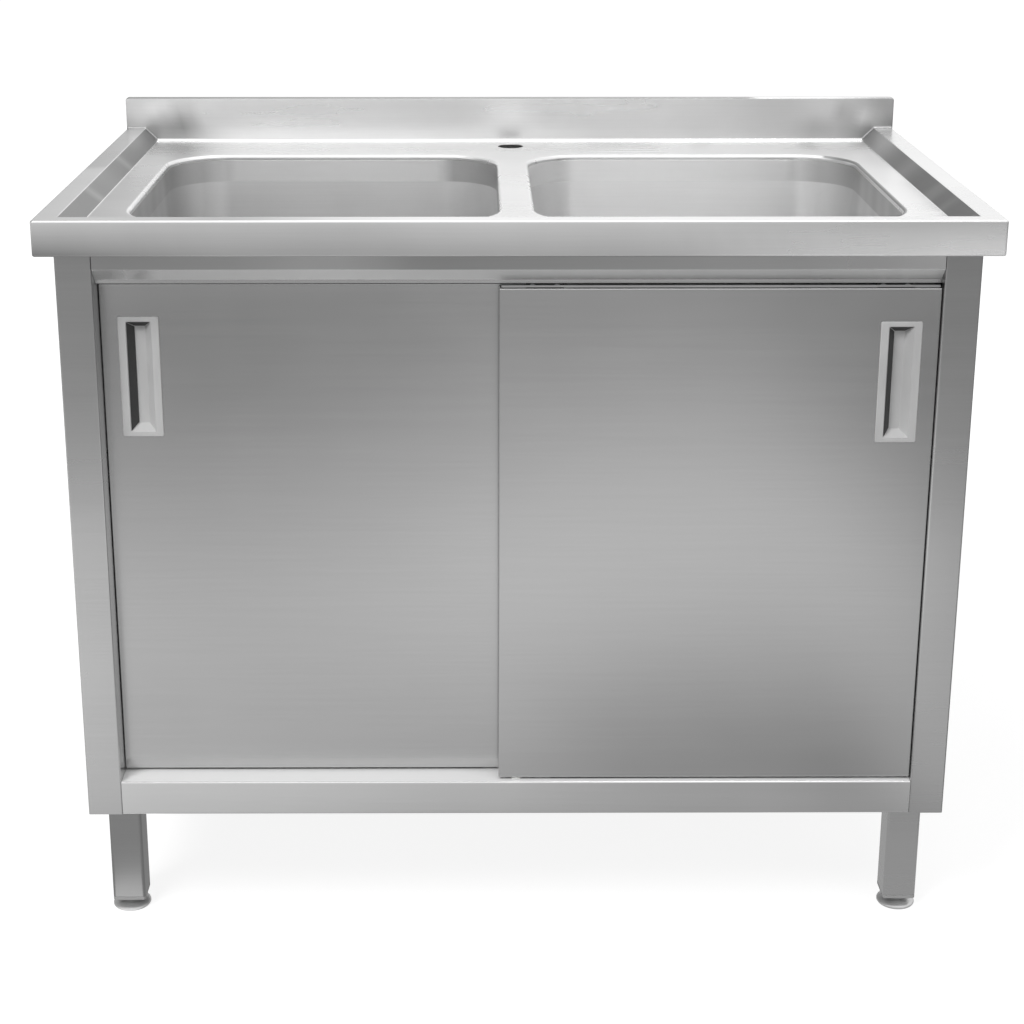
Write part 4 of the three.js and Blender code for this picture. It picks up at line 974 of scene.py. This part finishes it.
def side_panel(cabinet, node, side):
    """A side panel folded in plan: the post's return and face, the side and the rear return.

    A flange under the worktop is a part of it. Its tones are painted shade, darker towards its
    top under the worktop; their stops run up the panel.
    """
    low, high = node_box(node)
    outside = max(abs(low[0]), abs(high[0]))
    inner = outside - cabinet.post_width
    plan = folded(
        [
            (inner, low[1] + cabinet.post_depth), (inner, low[1]), (outside, low[1]),
            (outside, high[1]), (outside - cabinet.rear_return, high[1]),
        ],
        cabinet.gauge, cabinet.bend,
    )
    plan = [face * (side, 1) for face in plan]
    heights = np.linspace(low[2], high[2], 15)
    # painted shade: darker towards the top, under the worktop's overhang
    shade = np.interp(heights, (0.20, 0.40, 0.5, 0.62, 0.80), (0.12, 0.12, 0.0, 0.3, 0.8))[:, None]
    surface = Surface().prism(plan, flat, heights, ground=shade)
    flange = sorted([side * (outside - cabinet.top_flange), side * (outside - cabinet.gauge)])
    surface.slab(
        (flange[0], low[1] + cabinet.post_depth + FIT, high[2] - cabinet.gauge),
        (flange[1], high[1] - cabinet.gauge - FIT, high[2]),
    )
    return surface


def rear_rivets():
    """Blind rivets that hold the back panel to the side panels' rear returns."""
    surface = Surface()
    from_side, from_end = 0.014, 0.05
    profile = dome(0.0032, 0.0012)
    for word, side in SIDES:
        low, high = node_box(f"side_panel_{word}")
        x = side * (max(abs(low[0]), abs(high[0])) - from_side)
        for z in np.linspace(low[2] + from_end, high[2] - from_end, 6):
            surface.grid(turned(profile, (x, high[1], z), axis="y", steps=24), closed=True)
    return surface


def shelf(cabinet):
    """The shelf: a tray turned down all round, its front part narrower between the posts."""
    low, high = node_box("bottom_shelf")
    post = node_box("side_panel_right")[0][0] - FIT
    notch = low[1] + cabinet.post_depth + FIT
    g = cabinet.gauge
    front = folded(
        [(notch, high[2]), (low[1], high[2]), (low[1], low[2]), (low[1] + cabinet.shelf_return, low[2])],
        g, cabinet.bend,
    )
    rear = folded([(high[1], low[2] + g + FIT), (high[1], high[2]), (notch, high[2])], g, cabinet.bend)
    # the upper face is pale and dull, and the brushed front fold has a painted highlight
    paler_and_duller = np.where(front[0][:, 1] > high[2] - LEVEL, 1.0, 0.0)
    surface = Surface().prism(front, along_x, (-post, post), ground=-0.3, matt=paler_and_duller)
    surface.prism(rear, along_x, (low[0], high[0]))
    for x in (low[0], high[0] - g):
        surface.slab((x, notch, high[2] - cabinet.shelf_fold), (x + g, high[1] - g, high[2] - g))
    return surface


def fascia(cabinet):
    """The front rail: a flange, the fascia, its slope and the upturned running edge.

    A lip stands before the foot of the running edge. Its tones are painted shade and painted
    highlights: the face darker along most of its length and brighter at its right end, the slope
    brighter, pale and dull; their stops run from left to right.
    """
    low, high = node_box("front_rail")
    knee = high[2] - cabinet.fascia
    foot, rib = knee - cabinet.fascia_slope, low[1] + cabinet.fascia_slope
    section = folded(
        [(high[1], high[2]), (low[1], high[2]), (low[1], knee), (rib, foot), (rib, foot + cabinet.rib)],
        cabinet.gauge, cabinet.gauge / 3,
    )
    depth, height = section[0].T
    slope = (height < knee - 0.0001) & (height > foot + 0.0005) & (depth < rib)
    x = np.linspace(low[0], high[0], 25)
    stops = (-0.42, -0.3, -0.2, -0.1, 0.1, 0.3, 0.43)
    # painted shade and highlights on the face, painted light on the slope
    face = np.interp(x, stops, (0.8, 0.65, 0.2, 0.9, 0.75, 0.5, -0.3))[:, None]
    paler_and_duller = np.interp(x, stops, (0.3, 0.6, 1.0, 0.85, 0.95, 0.85, 0.95))[:, None]
    ground, matt = np.where(slope, -0.35, face), np.where(slope, paler_and_duller, 0.0)
    surface = Surface().prism(section, along_x, x, ground=ground, matt=matt)
    lip_front, lip_rear, below, above = rib - 0.0013, rib - 0.0002, 0.0020, 0.0021
    return surface.slab((low[0], lip_front, foot - below), (high[0], lip_rear, foot + above))


def inner_track(cabinet):
    """The rear track: a flange, a web, and the rear door's running edge."""
    low, high = node_box("rear_track")
    web = high[1] - 0.0119  # the web stands this far before the running edge
    section = folded(
        [
            (low[1], high[2] - cabinet.gauge), (web, high[2] - cabinet.gauge), (web, low[2]),
            (high[1], low[2]), (high[1], low[2] + cabinet.rib),
        ],
        cabinet.gauge, cabinet.gauge / 3,
    )
    # painted shade: the whole track is darkened, as the shade in the gap above the doors
    return Surface().prism(section, along_x, (low[0], high[0]), ground=1.1)


class SINKUNIT_OT_doors(bpy.types.Operator):
    """Builds both sliding doors with their handles, rollers and guides"""

    bl_idname = "sinkunit.doors"
    bl_label = "Sliding doors"

    def execute(self, context):
        doors = context.scene.sink_unit.doors
        for end in ENDS:
            door = f"{end}_door"
            piece(
                context, door_skin(doors, door), f"{door}_panel", door, "door_steel", [f"{door}_skin"],
                facing=(0, -1, 0), wall=doors.gauge,
            )
            piece(context, handle(doors, door), f"{door}_pull", door, "handle_grey", [f"{door}_handle"])
            # dark pads of painted shade in the handle's pocket
            piece(context, painted_shade(doors, door), f"{door}_grip", door, "seal_rubber")
            for word, _ in SIDES:
                node = f"{door}_roller_{word}"
                piece(context, roller(node), f"{door}_wheel_{word}", node, "nylon", [node])
                node = f"{door}_axle_{word}"
                piece(context, axle(node), f"{door}_pin_{word}", door, "mill_steel", [node])
            piece(context, head_strip(door), f"{door}_head_strip", door, "mill_steel")
            piece(context, hanger_screws(door), f"{door}_hanger_screws", door, "foot_steel")
            node = f"{door}_guide"
            piece(context, guide(node), f"{door}_guide_pin", "cabinet", "nylon", [node])
        return {"FINISHED"}


def door_skin(doors, door):
    """A door's pan: a face with the handle's opening, folded edges and walls to the back.

    The face is a ring between the opening and the door's outline. Round the folded edge the
    outline is inset by r (1 - sin a) at a depth of r (1 - cos a). The lower wall has the slot.
    """
    low, high = node_box(f"{door}_skin")
    centre, half = node_middle(f"{door}_skin")
    at, pull = node_middle(f"{door}_handle")
    r, corner = doors.edge_radius, 0.0014
    lap = 0.0028  # how far the handle's frame covers the door round the opening
    opening = rounded_loop(pull[0] - lap, pull[2] - lap, 0.001, at[[0, 2]])
    rings = [upright(opening, low[1])]

    def outline(inset, y):
        radius = max(corner - inset, 0.0002)
        loop = rounded_loop(half[0] - inset, half[2] - inset, radius, centre[[0, 2]])
        rings.append(upright(loop, y))

    for a in np.linspace(0, math.pi / 2, 6):
        outline(r * (1 - math.sin(a)), low[1] + r * (1 - math.cos(a)))
    for y in (centre[1] - doors.slot / 2, centre[1] + doors.slot / 2, high[1]):
        outline(0.0, y)
    rings = np.stack(rings)
    keep = np.ones((len(rings) - 1, rings.shape[1]), bool)
    from_centre = np.abs(rings[-3, :, 0] - centre[0])
    in_slot = (rings[-3, :, 2] < low[2] + LEVEL) & (from_centre < half[0] - doors.slot_end + 0.002)
    keep[-2] = ~(in_slot & np.roll(in_slot, -1))
    # a painted highlight on the top fold's bend, and painted shade on the top wall behind it
    upper = (rings[..., 2] > high[2] - 0.1 * r) & (rings[..., 1] > low[1] + r * 0.6)
    painted_highlight = (rings[..., 2] > high[2] - 0.6 * r) & ~upper
    return Surface().grid(rings, closed=True, keep=keep, ground=upper * 1.5, matt=painted_highlight * 1.0)


def head_strip(door):
    """A strip spot-welded on the door's upper edge: in front of its hangers, on a low web, where
    their feet leave room for it, and otherwise flat between and beside them."""
    low, high = node_box(f"{door}_skin")
    hangers = [node_box(f"{door}_hanger_{word}") for word, _ in SIDES]
    left, right, top = low[0] + 0.002, high[0] - 0.002, high[2]
    depth, setback = 0.0030, 0.0014  # of the strip, and of the door's face before it
    if min(hanger_low[1] for hanger_low, _ in hangers) > low[1] + depth:
        front, rear = low[1] + setback, low[1] + setback + depth
        web, web_gauge, rise = 0.0013, 0.0006, 0.0029
        surface = Surface().slab((left, rear - web_gauge, top), (right, rear, top + web))
        return surface.slab((left, front, top + web), (right, rear, top + rise))
    clear, front, rear, rise = 0.001, low[1] + 0.0080, low[1] + 0.0105, 0.0016
    ends = [left]
    for hanger_low, hanger_high in hangers:
        ends += [hanger_low[0] - clear, hanger_high[0] + clear]
    ends.append(right)
    surface = Surface()
    for start, end in zip(ends[::2], ends[1::2]):
        surface.slab((start, front, top), (end, rear, top + rise))
    return surface


def hanger_screws(door):
    """Two round-headed screws on the foot of each of a door's hangers."""
    surface = Surface()
    foot_gauge, from_rear, spacing = 0.0015, 0.0065, 0.026
    head = dome(0.0032, 0.0013)
    for word, _ in SIDES:
        low, high = node_box(f"{door}_hanger_{word}")
        for x in (-spacing / 2, spacing / 2):
            place = ((low[0] + high[0]) / 2 + x, high[1] - from_rear, low[2] + foot_gauge)
            surface.grid(turned(head, place, steps=24), closed=True)
    return surface


def dome(radius, height, steps=6):
    """Profile of a flat-bottomed head: an ellipse's quarter from its top to its edge, and back."""
    a = np.linspace(0, math.pi / 2, steps)
    return np.concatenate([np.stack([radius * np.sin(a), height * np.cos(a)], axis=1), [(0, 0)]])


def handle(doors, door):
    """A flush pull: a frame with rounded edges round a pocket whose walls lean in.

    Rings of a rectangle with round corners, from behind the frame over its edge to the pocket's
    floor, and back to the rear of the moulding.
    """
    low, high = node_box(f"{door}_handle")
    centre, half = (values[[0, 2]] for values in node_middle(f"{door}_handle"))
    face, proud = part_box(f"{door}_skin")[0][1], low[1]
    r = 0.0009  # rounding of the frame's outer edge
    rings = []

    def ring(inset_side, inset_end, y, corner=None):
        corner = max(doors.handle_corner - inset_side, 0.0005) if corner is None else corner
        rings.append(upright(rounded_loop(half[0] - inset_side, half[1] - inset_end, corner, centre), y))

    body = 0.0031  # the part behind the door is this much smaller than the frame
    ring(body, body, high[1])
    ring(body, body, face - FIT)
    ring(0, 0, face - FIT)
    for a in np.linspace(0, math.pi / 2, 6):
        ring(r * (1 - math.cos(a)), r * (1 - math.cos(a)), proud + r * (1 - math.sin(a)))
    side, end = doors.frame_side, doors.frame_end
    soft = 0.0004  # chamfer of the pocket's edges
    ring(side - soft, end - soft, proud, 0.0014)
    ring(side, end, proud + soft, 0.0012)
    floor_side, floor_end = side + doors.lean_side, end + doors.lean_end
    deep = face + doors.pocket
    ring(floor_side - soft, floor_end - soft, deep - soft, 0.0008)
    ring(floor_side + soft, floor_end + soft, deep, 0.0006)
    return Surface().tube(np.stack(rings))


def painted_shade(doors, door):
    """A dark pad of painted shade on the pocket's left wall, where the fingers pull, and one on its upper
    wall.

    A pad's outline is its wall's, drawn in a little, on the plane through the frame's inner edge
    and the edge of the pocket's floor; it stands off along that plane's normal.
    """
    low, _ = node_box(f"{door}_handle")
    centre, half = node_middle(f"{door}_handle")
    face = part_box(f"{door}_skin")[0][1]
    margin = 0.0004  # between a pad's outline and the edge of its wall
    off, side_gauge, roof_gauge = 0.0001, 0.0004, 0.0003
    edge = centre[0] - half[0] + doors.frame_side + margin
    foot = edge + doors.lean_side - 2 * margin
    tall = half[2] - doors.frame_end - 3 * margin
    short = tall - doors.lean_end + margin
    start, end = low[1] + 0.0009, face + doors.pocket - 0.0005
    deep = end - start
    wall = np.array([
        (edge, start, centre[2] + tall), (edge, start, centre[2] - tall),
        (foot, end, centre[2] - short), (foot, end, centre[2] + short),
    ])
    out = np.array([deep, edge - foot, 0.0]) / math.hypot(deep, foot - edge)
    surface = Surface().tube(np.stack([wall + off * out, wall + (off + side_gauge) * out]))
    roof = centre[2] + half[2] - doors.frame_end - margin
    fall = doors.lean_end - 2 * margin
    near, far = (centre[0] - x - 2 * margin for x in (edge, foot))
    wall = np.array([
        (centre[0] - near, start, roof), (centre[0] + near, start, roof),
        (centre[0] + far, end, roof - fall), (centre[0] - far, end, roof - fall),
    ])
    out = np.array([0.0, -fall, -deep]) / math.hypot(fall, deep)
    return surface.tube(np.stack([wall + off * out, wall + (off + roof_gauge) * out]))


def roller(node):
    """A grooved roller turned about its axle; its rims are rounded and the groove is a trough."""
    centre, (_, half, radius) = node_middle(node)
    bore, floor = 0.0023, 0.007
    profile = bent(
        [
            (bore, -half), (radius, -half), (radius, -0.0014), (floor, -0.0009),
            (floor, 0.0009), (radius, 0.0014), (radius, half), (bore, half),
        ],
        [0.0007, 0.0003, 0.0003, 0.0003, 0.0003, 0.0007], steps=4,
    )
    profile = np.concatenate([profile, profile[:1]])
    return Surface().grid(turned(profile, centre, axis="y", steps=56), closed=True)


def axle(node):
    """An axle pin with a domed head, riveted over behind the hanger."""
    low, high = node_box(node)
    centre, (_, _, head) = node_middle(node)
    front, rear = low[1] - centre[1], high[1] - centre[1]
    pin, thick, chamfer = 0.002, 0.0012, 0.0005
    a = np.linspace(0, math.pi / 2, 6)
    profile = np.concatenate([
        np.stack([head * np.sin(a), front + thick * 0.7 * (1 - np.cos(a))], axis=1),
        [(head, front + thick), (pin, front + thick)],
        [(pin, rear - chamfer), (pin - chamfer, rear), (0, rear)],
    ])
    return Surface().grid(turned(profile, centre, axis="y", steps=40), closed=True)


def guide(node):
    """A nylon guide: a low dished base and a round-ended pin in the door's slot."""
    low, high = node_box(node)
    centre, (base, _, _) = node_middle(node)
    bottom, top = low[2] - centre[2], high[2] - centre[2]
    pin, rounding, fillet = 0.0035, 0.0015, 0.0008
    upper = bottom + 0.0019
    a = np.linspace(0, math.pi / 2, 7)
    end = np.stack([pin - rounding * (1 - np.cos(a)), top - rounding * (1 - np.sin(a))], axis=1)
    profile = np.concatenate([
        [(0, bottom), (base - 0.0004, bottom), (base, bottom + 0.0004), (base - 0.0003, bottom + 0.0011)],
        [(base - 0.0012, upper - 0.0002), (base - 0.0022, upper), (pin + fillet, upper)],
        [(pin, upper + fillet)], end, [(0, top)],
    ])
    return Surface().grid(turned(profile, centre, steps=48), closed=True)


class SINKUNIT_OT_legs(bpy.types.Operator):
    """Builds the four square legs with their end caps and levelling feet"""

    bl_idname = "sinkunit.legs"
    bl_label = "Legs and feet"

    def execute(self, context):
        cabinet = context.scene.sink_unit.cabinet
        for end in ENDS:
            for word, _ in SIDES:
                where = f"{end}_{word}"
                piece(
                    context, leg(cabinet, f"leg_{where}"), f"leg_tube_{where}", "cabinet",
                    "cabinet_steel", [f"leg_{where}"],
                )
                piece(
                    context, end_cap(cabinet, f"leg_cap_{where}"), f"cap_{where}", "cabinet",
                    "cap_grey", [f"leg_cap_{where}"],
                )
                piece(
                    context, foot(f"foot_{where}"), f"pad_{where}", f"foot_{where}",
                    "foot_steel", [f"foot_{where}"],
                )
                piece(context, plate_bolts(f"leg_plate_{where}"), f"bolts_{where}", "cabinet", "foot_steel")
        return {"FINISHED"}


def leg(cabinet, node):
    """A square tube with round corners: rings down the outside and up the inside."""
    low, high = node_box(node)
    centre, (half, _, _) = node_middle(node)
    g, corner = cabinet.leg_gauge, cabinet.leg_corner
    soft = 0.0002  # chamfer of the cut ends
    rings = []
    for inset, z in (
        (soft, low[2]), (0, low[2] + soft), (0, high[2] - soft), (soft, high[2]),
        (g - soft, high[2]), (g, high[2] - soft), (g, low[2] + soft), (g - soft, low[2]), (soft, low[2]),
    ):
        rings.append(flat(rounded_loop(half - inset, half - inset, corner - inset, centre[:2]), z))
    # painted shade: the left legs are darker than the right ones
    return Surface().grid(np.stack(rings), closed=True, ground=0.95 if centre[0] < 0 else 0.1)


def plate_bolts(node):
    """Four hexagon heads under the corners of a leg's plate."""
    low, high = node_box(node)
    surface = Surface()
    from_edge, head, height = 0.005, 0.0040, 0.0028
    profile = [(0, -height), (head - 0.0006, -height), (head, 0.0004 - height), (head, 0), (0, 0)]
    for x in (low[0] + from_edge, high[0] - from_edge):
        for y in (low[1] + from_edge, high[1] - from_edge):
            surface.grid(turned(profile, (x, y, low[2]), steps=6), closed=True)
    return surface


def end_cap(cabinet, node):
    """A moulded cap: a square collar with soft edges, a hollow plug above and a bore below."""
    low, high = node_box(node)
    centre, (half, _, _) = node_middle(node)
    corner, bore = cabinet.leg_corner, 0.0053
    plug = cabinet.leg_gauge + FIT  # how much smaller the plug is than the collar, on each side
    hollow, thick = plug + 0.002, 0.004
    collar = low[2] + thick
    r = 0.0006  # rounding of the collar's edges
    rings = []

    def ring(inset, z, radius=None):
        radius = max(corner - inset, r) if radius is None else radius
        rings.append(flat(rounded_loop(half - inset, half - inset, radius, centre[:2]), z))

    a = np.linspace(0, math.pi / 2, 5)
    for inset, rise in zip(r * (1 - np.sin(a)), r * (1 - np.cos(a))):
        ring(inset, low[2] + rise)
    for inset, drop in zip(r * (1 - np.cos(a)), r * (1 - np.sin(a))):
        ring(inset, collar - drop)
    ring(plug, collar)
    ring(plug, high[2] - r)
    ring(plug + r, high[2])
    ring(hollow, high[2], 0.0005)
    ring(hollow, collar + thick, 0.0005)
    for z in (collar + thick, low[2]):
        rings.append(flat(circle_loop(bore, len(rings[0]), centre[:2]), z))
    rings.append(rings[0])
    return Surface().grid(np.stack(rings), closed=True)


def foot(node):
    """A levelling foot: a pad with a rolled edge, a boss and a threaded stem.

    The thread is a helix cut into the stem: the radius falls by up to the thread's depth, with
    the cosine of the angle less a full turn for each pitch of height, and fades at both ends.
    """
    low, high = node_box(node)
    centre, (pad, _, _) = node_middle(node)
    centre = centre * (1, 1, 0)
    boss, stem, tip_length, turn_steps = 0.010, 0.005, 0.0015, 64
    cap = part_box(node.replace("foot", "leg_cap"))[0][2] - FIT
    profile = [
        (0, 0), (pad - 0.002, 0), (pad - 0.0006, 0.0005), (pad, 0.0014), (pad, 0.0026),
        (pad - 0.0004, 0.0036), (pad - 0.0014, 0.0044), (pad - 0.003, 0.0052), (boss + 0.004, 0.0070),
        (boss + 0.0012, 0.0078), (boss, 0.0090), (boss, cap - 0.0006), (boss - 0.0006, cap), (stem, cap),
    ]
    surface = Surface().grid(turned(profile, centre, steps=turn_steps), closed=True, matt=0.25)
    pitch, depth = 0.0015, 0.0006
    heights = np.linspace(cap, high[2] - tip_length, 161)[:, None]
    angle = 2 * math.pi * np.arange(turn_steps) / turn_steps
    wave = 0.5 + 0.5 * np.cos(angle - 2 * math.pi * heights / pitch)
    fade = np.minimum(1, np.minimum(heights - cap, heights[-1] - heights) / 0.001)
    radius = stem - depth * wave * fade
    surface.grid(joined(radius * np.cos(angle), radius * np.sin(angle), heights) + centre, closed=True)
    tip = [(stem, high[2] - tip_length), (stem - tip_length, high[2]), (0, high[2])]
    return surface.grid(turned(tip, centre, steps=turn_steps), closed=True)


class SINKUNIT_OT_hidden_steel(bpy.types.Operator):
    """Gives the CAD parts a finish, which those that no piece replaces keep"""

    bl_idname = "sinkunit.hidden_steel"
    bl_label = "Finish of plain parts"

    def execute(self, context):
        # the hangers take the dark finish as painted shade of the gap above the doors
        slots = {"waste_seal": "seal_rubber", "waste_nut": "waste_chrome", "hanger": "dark_steel"}
        for name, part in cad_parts.items():
            slot = next((slot for word, slot in slots.items() if word in name), "mill_steel")
            part.data.materials.clear()
            part.data.materials.append(finish(context, slot))
        return {"FINISHED"}


class SINKUNIT_OT_stage(bpy.types.Operator):
    """Builds the studio: a pale floor, soft lamps, a white background and the camera"""

    bl_idname = "sinkunit.stage"
    bl_label = "Studio"

    def execute(self, context):
        stage = context.scene.sink_unit.stage
        floor_mesh = bpy.data.meshes.new("studio_floor")
        reach = 30.0
        corners = [(-reach, -reach, 0), (reach, -reach, 0), (reach, reach, 0), (-reach, reach, 0)]
        floor_mesh.from_pydata(corners, [], [(0, 1, 2, 3)])
        floor_mesh.materials.append(floor_material(stage))
        floor = bpy.data.objects.new("studio_floor", floor_mesh)
        context.scene.collection.objects.link(floor)
        background(context.scene)
        for name, place, aim, size, power, mirrored in (
            ("lamp_left", (-1.7, -2.4, 3.3), (0, 0, 0.5), 1.4, 95.0, False),
            ("lamp_right", (2.4, -2.4, 2.0), (0, 0, 0.6), 2.2, 14.0, False),
            ("lamp_above", (0.0, -0.4, 3.2), (0, 0, 0.8), 2.6, 25.0, True),
            ("lamp_right_bowl", (0.5, -0.5, 2.4), (0.27, 0.05, 0.7), 0.35, 2.5, True),
        ):
            lamp(context, name, place, aim, size, power, mirrored)
        view = bpy.data.cameras.new("camera")
        view.lens, view.sensor_width, view.sensor_fit = stage.lens, 36.0, "HORIZONTAL"
        view.shift_x, view.shift_y = stage.shift_x, stage.shift_y
        camera = bpy.data.objects.new("camera", view)
        downwards, sideways = 0.291, -0.004  # how far it is turned from looking along +Y
        camera.location = (-0.0451, -2.2698, 1.2606)
        camera.rotation_euler = (math.pi / 2 - downwards, 0.0, sideways)
        context.scene.collection.objects.link(camera)
        context.scene.camera = camera
        context.scene.view_settings.view_transform = "Standard"
        return {"FINISHED"}


def lamp(context, name, place, aim, size, power, mirrored):
    """A square soft lamp that the camera doesn't see, and that polished steel may mirror."""
    light = bpy.data.lights.new(name, "AREA")
    light.shape, light.size, light.energy = "SQUARE", size, power
    made = bpy.data.objects.new(name, light)
    made.location = place
    way = np.array(aim) - np.array(place)
    made.rotation_euler = (math.atan2(math.hypot(way[0], way[1]), -way[2]), 0, math.atan2(-way[0], way[1]))
    made.visible_camera = False
    made.visible_glossy = mirrored
    context.scene.collection.objects.link(made)


def floor_material(stage):
    """White to the camera, with the object's shadow close to it.

    To polished steel it glows with a painted reflection, which no lamp gives: a pale stripe that
    runs across from the left near side to the right far side, between darker ones. Their strength
    falls off to the right, and single patches are paler or darker than that, and show on the steel
    as painted highlights and painted shade.
    """
    material, n, place = blank_material("studio_floor")
    x, y = n.make("SeparateXYZ", {0: place}).outputs[:2]

    def product(first, second):
        return n.math("MULTIPLY", first, second)

    def spot(centre, strength, inner, outer):
        """The strength within the inner distance of a point, and nothing beyond the outer one."""
        away = n.make("VectorMath", {0: place, 1: centre}, operation="DISTANCE").outputs["Value"]
        return n.spread(away, strength, 0.0, inner, outer)

    # the stripes lie at distances before the unit, in metres, and slant along a soft curve
    slant = n.make("ValToRGB", {0: n.spread(x, 0.0, 1.0, -2.0, 2.0)})
    slant.color_ramp.interpolation = "B_SPLINE"
    set_ramp(slant, [
        (0.0, 0.0), (0.35, 0.2), (0.5, 0.5), (0.61, 0.8), (0.68, 0.55), (0.76, 0.45), (1.0, 0.45),
    ])
    across = n.math("SUBTRACT", product(y, -1.0), n.spread(slant.outputs[0], -0.6, 0.6, 0.0, 1.0))
    reach = 8.0
    stripes = n.make("ValToRGB", {0: n.math("DIVIDE", across, reach)})
    set_ramp(stripes, [
        (distance / reach, tone) for distance, tone in (
            (0.0, 0.42), (0.4, 0.42), (0.6, 0.55), (0.9, 0.74), (1.35, 0.94), (1.7, 0.84),
            (2.2, 0.56), (2.8, 0.38), (3.5, 0.24), (4.6, 0.36), (5.15, 0.88), (5.6, 1.0),
        )
    ])
    # painted reflection: strengths that put painted highlights and painted shade on the steel
    strength = n.spread(x, 1.12, 0.5, 0.6, 0.88)
    far_right = product(
        n.spread(x, 0.0, 1.3, 0.6, 1.5),
        product(n.spread(y, 0.0, 1.0, -2.8, -3.6), n.spread(y, 1.0, 0.0, -4.3, -5.2)),
    )
    by_left_foot = spot((-0.462, -0.252, 0.0), 1.8, 0.03, 0.05)
    by_right_post = spot((0.58, -0.655, 0.0), 0.3, 0.04, 0.12)
    for paler in (far_right, by_left_foot, by_right_post):
        strength = n.math("ADD", strength, paler)
    left = product(n.spread(x, 0.3, 0.0, -0.6, -0.1), n.spread(y, 1.0, 0.0, -2.9, -2.3))
    under_shelf = product(n.spread(y, 0.0, 0.2, -0.56, -0.52), n.spread(y, 1.0, 0.0, -0.45, -0.41))
    before_left_door = product(
        product(n.spread(x, 0.17, 0.0, -0.3, 0.0), n.spread(x, 0.2, 1.0, -0.75, -0.55)),
        n.spread(y, 1.0, 0.0, -0.74, -0.63),
    )
    by_shelf_end = spot((0.47, -0.60, 0.0), 0.3, 0.03, 0.11)
    before_right_door = product(
        product(n.spread(x, 0.0, 0.22, -0.02, 0.12), n.spread(x, 1.0, 0.0, 0.45, 0.55)),
        product(n.spread(y, 0.0, 1.0, -1.15, -0.85), n.spread(y, 1.0, 0.0, -0.68, -0.6)),
    )
    for darker in (left, under_shelf, before_left_door, by_shelf_end, before_right_door):
        strength = n.math("SUBTRACT", strength, darker)
    mirrored = n.make("Emission", {"Color": stripes.outputs[0], "Strength": strength})

    away = n.make("VectorMath", {0: place}, operation="LENGTH").outputs["Value"]
    whiteness = n.spread(n.spread(away, 0.0, 1.0, 0.7, 2.2), 0.86, 1.0, 0.0, 1.0)
    white = n.make("Emission", {"Color": (1, 1, 1, 1), "Strength": whiteness})
    shadowed = n.make("BsdfDiffuse", {"Color": (0.3, 0.3, 0.3, 1.0)})
    seen = n.make("AddShader", {0: white.outputs[0], 1: shadowed.outputs[0]})
    paint = n.make("BsdfDiffuse", {"Color": (*stage.floor, 1.0)})
    ray = n.make("LightPath").outputs
    out = n.make("MixShader", {0: ray["Is Glossy Ray"], 1: paint.outputs[0], 2: mirrored.outputs[0]})
    out = n.make("MixShader", {0: ray["Is Camera Ray"], 1: out.outputs[0], 2: seen.outputs[0]})
    n.make("OutputMaterial", {"Surface": out.outputs[0]})
    return material


def set_ramp(ramp, tones):
    """Gives a colour ramp its (position, tone) stops."""
    stops = ramp.color_ramp.elements
    while len(stops) < len(tones):
        stops.new(0.5)
    for stop, (position, tone) in zip(stops, tones):
        stop.position, stop.color = position, (tone, tone, tone, 1.0)


def background(scene):
    """White to the camera and through glass; polished steel sees it paler to the right and front."""
    world = bpy.data.worlds.new("studio")
    scene.world = world
    world.use_nodes = True
    n = Nodes(world.node_tree)
    ray = n.make("LightPath").outputs
    way = n.make("SeparateXYZ", {0: n.make("TexCoord").outputs["Generated"]}).outputs
    to_right = n.spread(way["X"], 0.38, 1.0, -0.22, -0.06)
    to_front = n.spread(way["Y"], 0.95, 0.38, -0.4, -0.1)
    mirrored = n.math("MAXIMUM", to_right, to_front)
    lighting, mirror, white = (
        n.make("Background", {"Color": (1, 1, 1, 1), "Strength": strength}).outputs[0]
        for strength in (0.22, mirrored, 1.0)
    )
    seen = n.math("MAXIMUM", ray["Is Camera Ray"], ray["Is Transmission Ray"])
    out = n.make("MixShader", {0: ray["Is Glossy Ray"], 1: lighting, 2: mirror})
    out = n.make("MixShader", {0: seen, 1: out.outputs[0], 2: white})
    n.make("OutputWorld", {"Surface": out.outputs[0]})


class SINKUNIT_PT_panel(bpy.types.Panel):
    """Lists the steps that build the sink unit, with their sizes and colours"""

    bl_idname = "SINKUNIT_PT_panel"
    bl_label = "Sink unit"
    bl_space_type = "VIEW_3D"
    bl_region_type = "UI"
    bl_category = "Sink unit"

    def draw(self, context):
        settings = context.scene.sink_unit
        for step in STEPS:
            self.layout.operator(step.bl_idname)
        for group in ("worktop", "bowls", "cabinet", "doors", "finish", "stage"):
            box = self.layout.box()
            values = getattr(settings, group)
            for key in values.__annotations__:
                box.prop(values, key)


STEPS = (
    SINKUNIT_OT_hidden_steel,
    SINKUNIT_OT_worktop,
    SINKUNIT_OT_bowls,
    SINKUNIT_OT_cabinet,
    SINKUNIT_OT_doors,
    SINKUNIT_OT_legs,
    SINKUNIT_OT_stage,
)
CLASSES = (
    WorktopSettings,
    BowlSettings,
    CabinetSettings,
    DoorSettings,
    FinishSettings,
    StageSettings,
    SinkUnitSettings,
    *STEPS,
    SINKUNIT_PT_panel,
)


def register():
    for kind in CLASSES:
        bpy.utils.register_class(kind)
    bpy.types.Scene.sink_unit = PointerProperty(type=SinkUnitSettings)


def unregister():
    del bpy.types.Scene.sink_unit
    for kind in reversed(CLASSES):
        bpy.utils.unregister_class(kind)


def main():
    register()
    bpy.ops.sinkunit.hidden_steel()
    bpy.ops.sinkunit.worktop()
    bpy.ops.sinkunit.bowls()
    bpy.ops.sinkunit.cabinet()
    bpy.ops.sinkunit.doors()
    bpy.ops.sinkunit.legs()
    bpy.ops.sinkunit.stage()


if __name__ == "__main__":
    main()
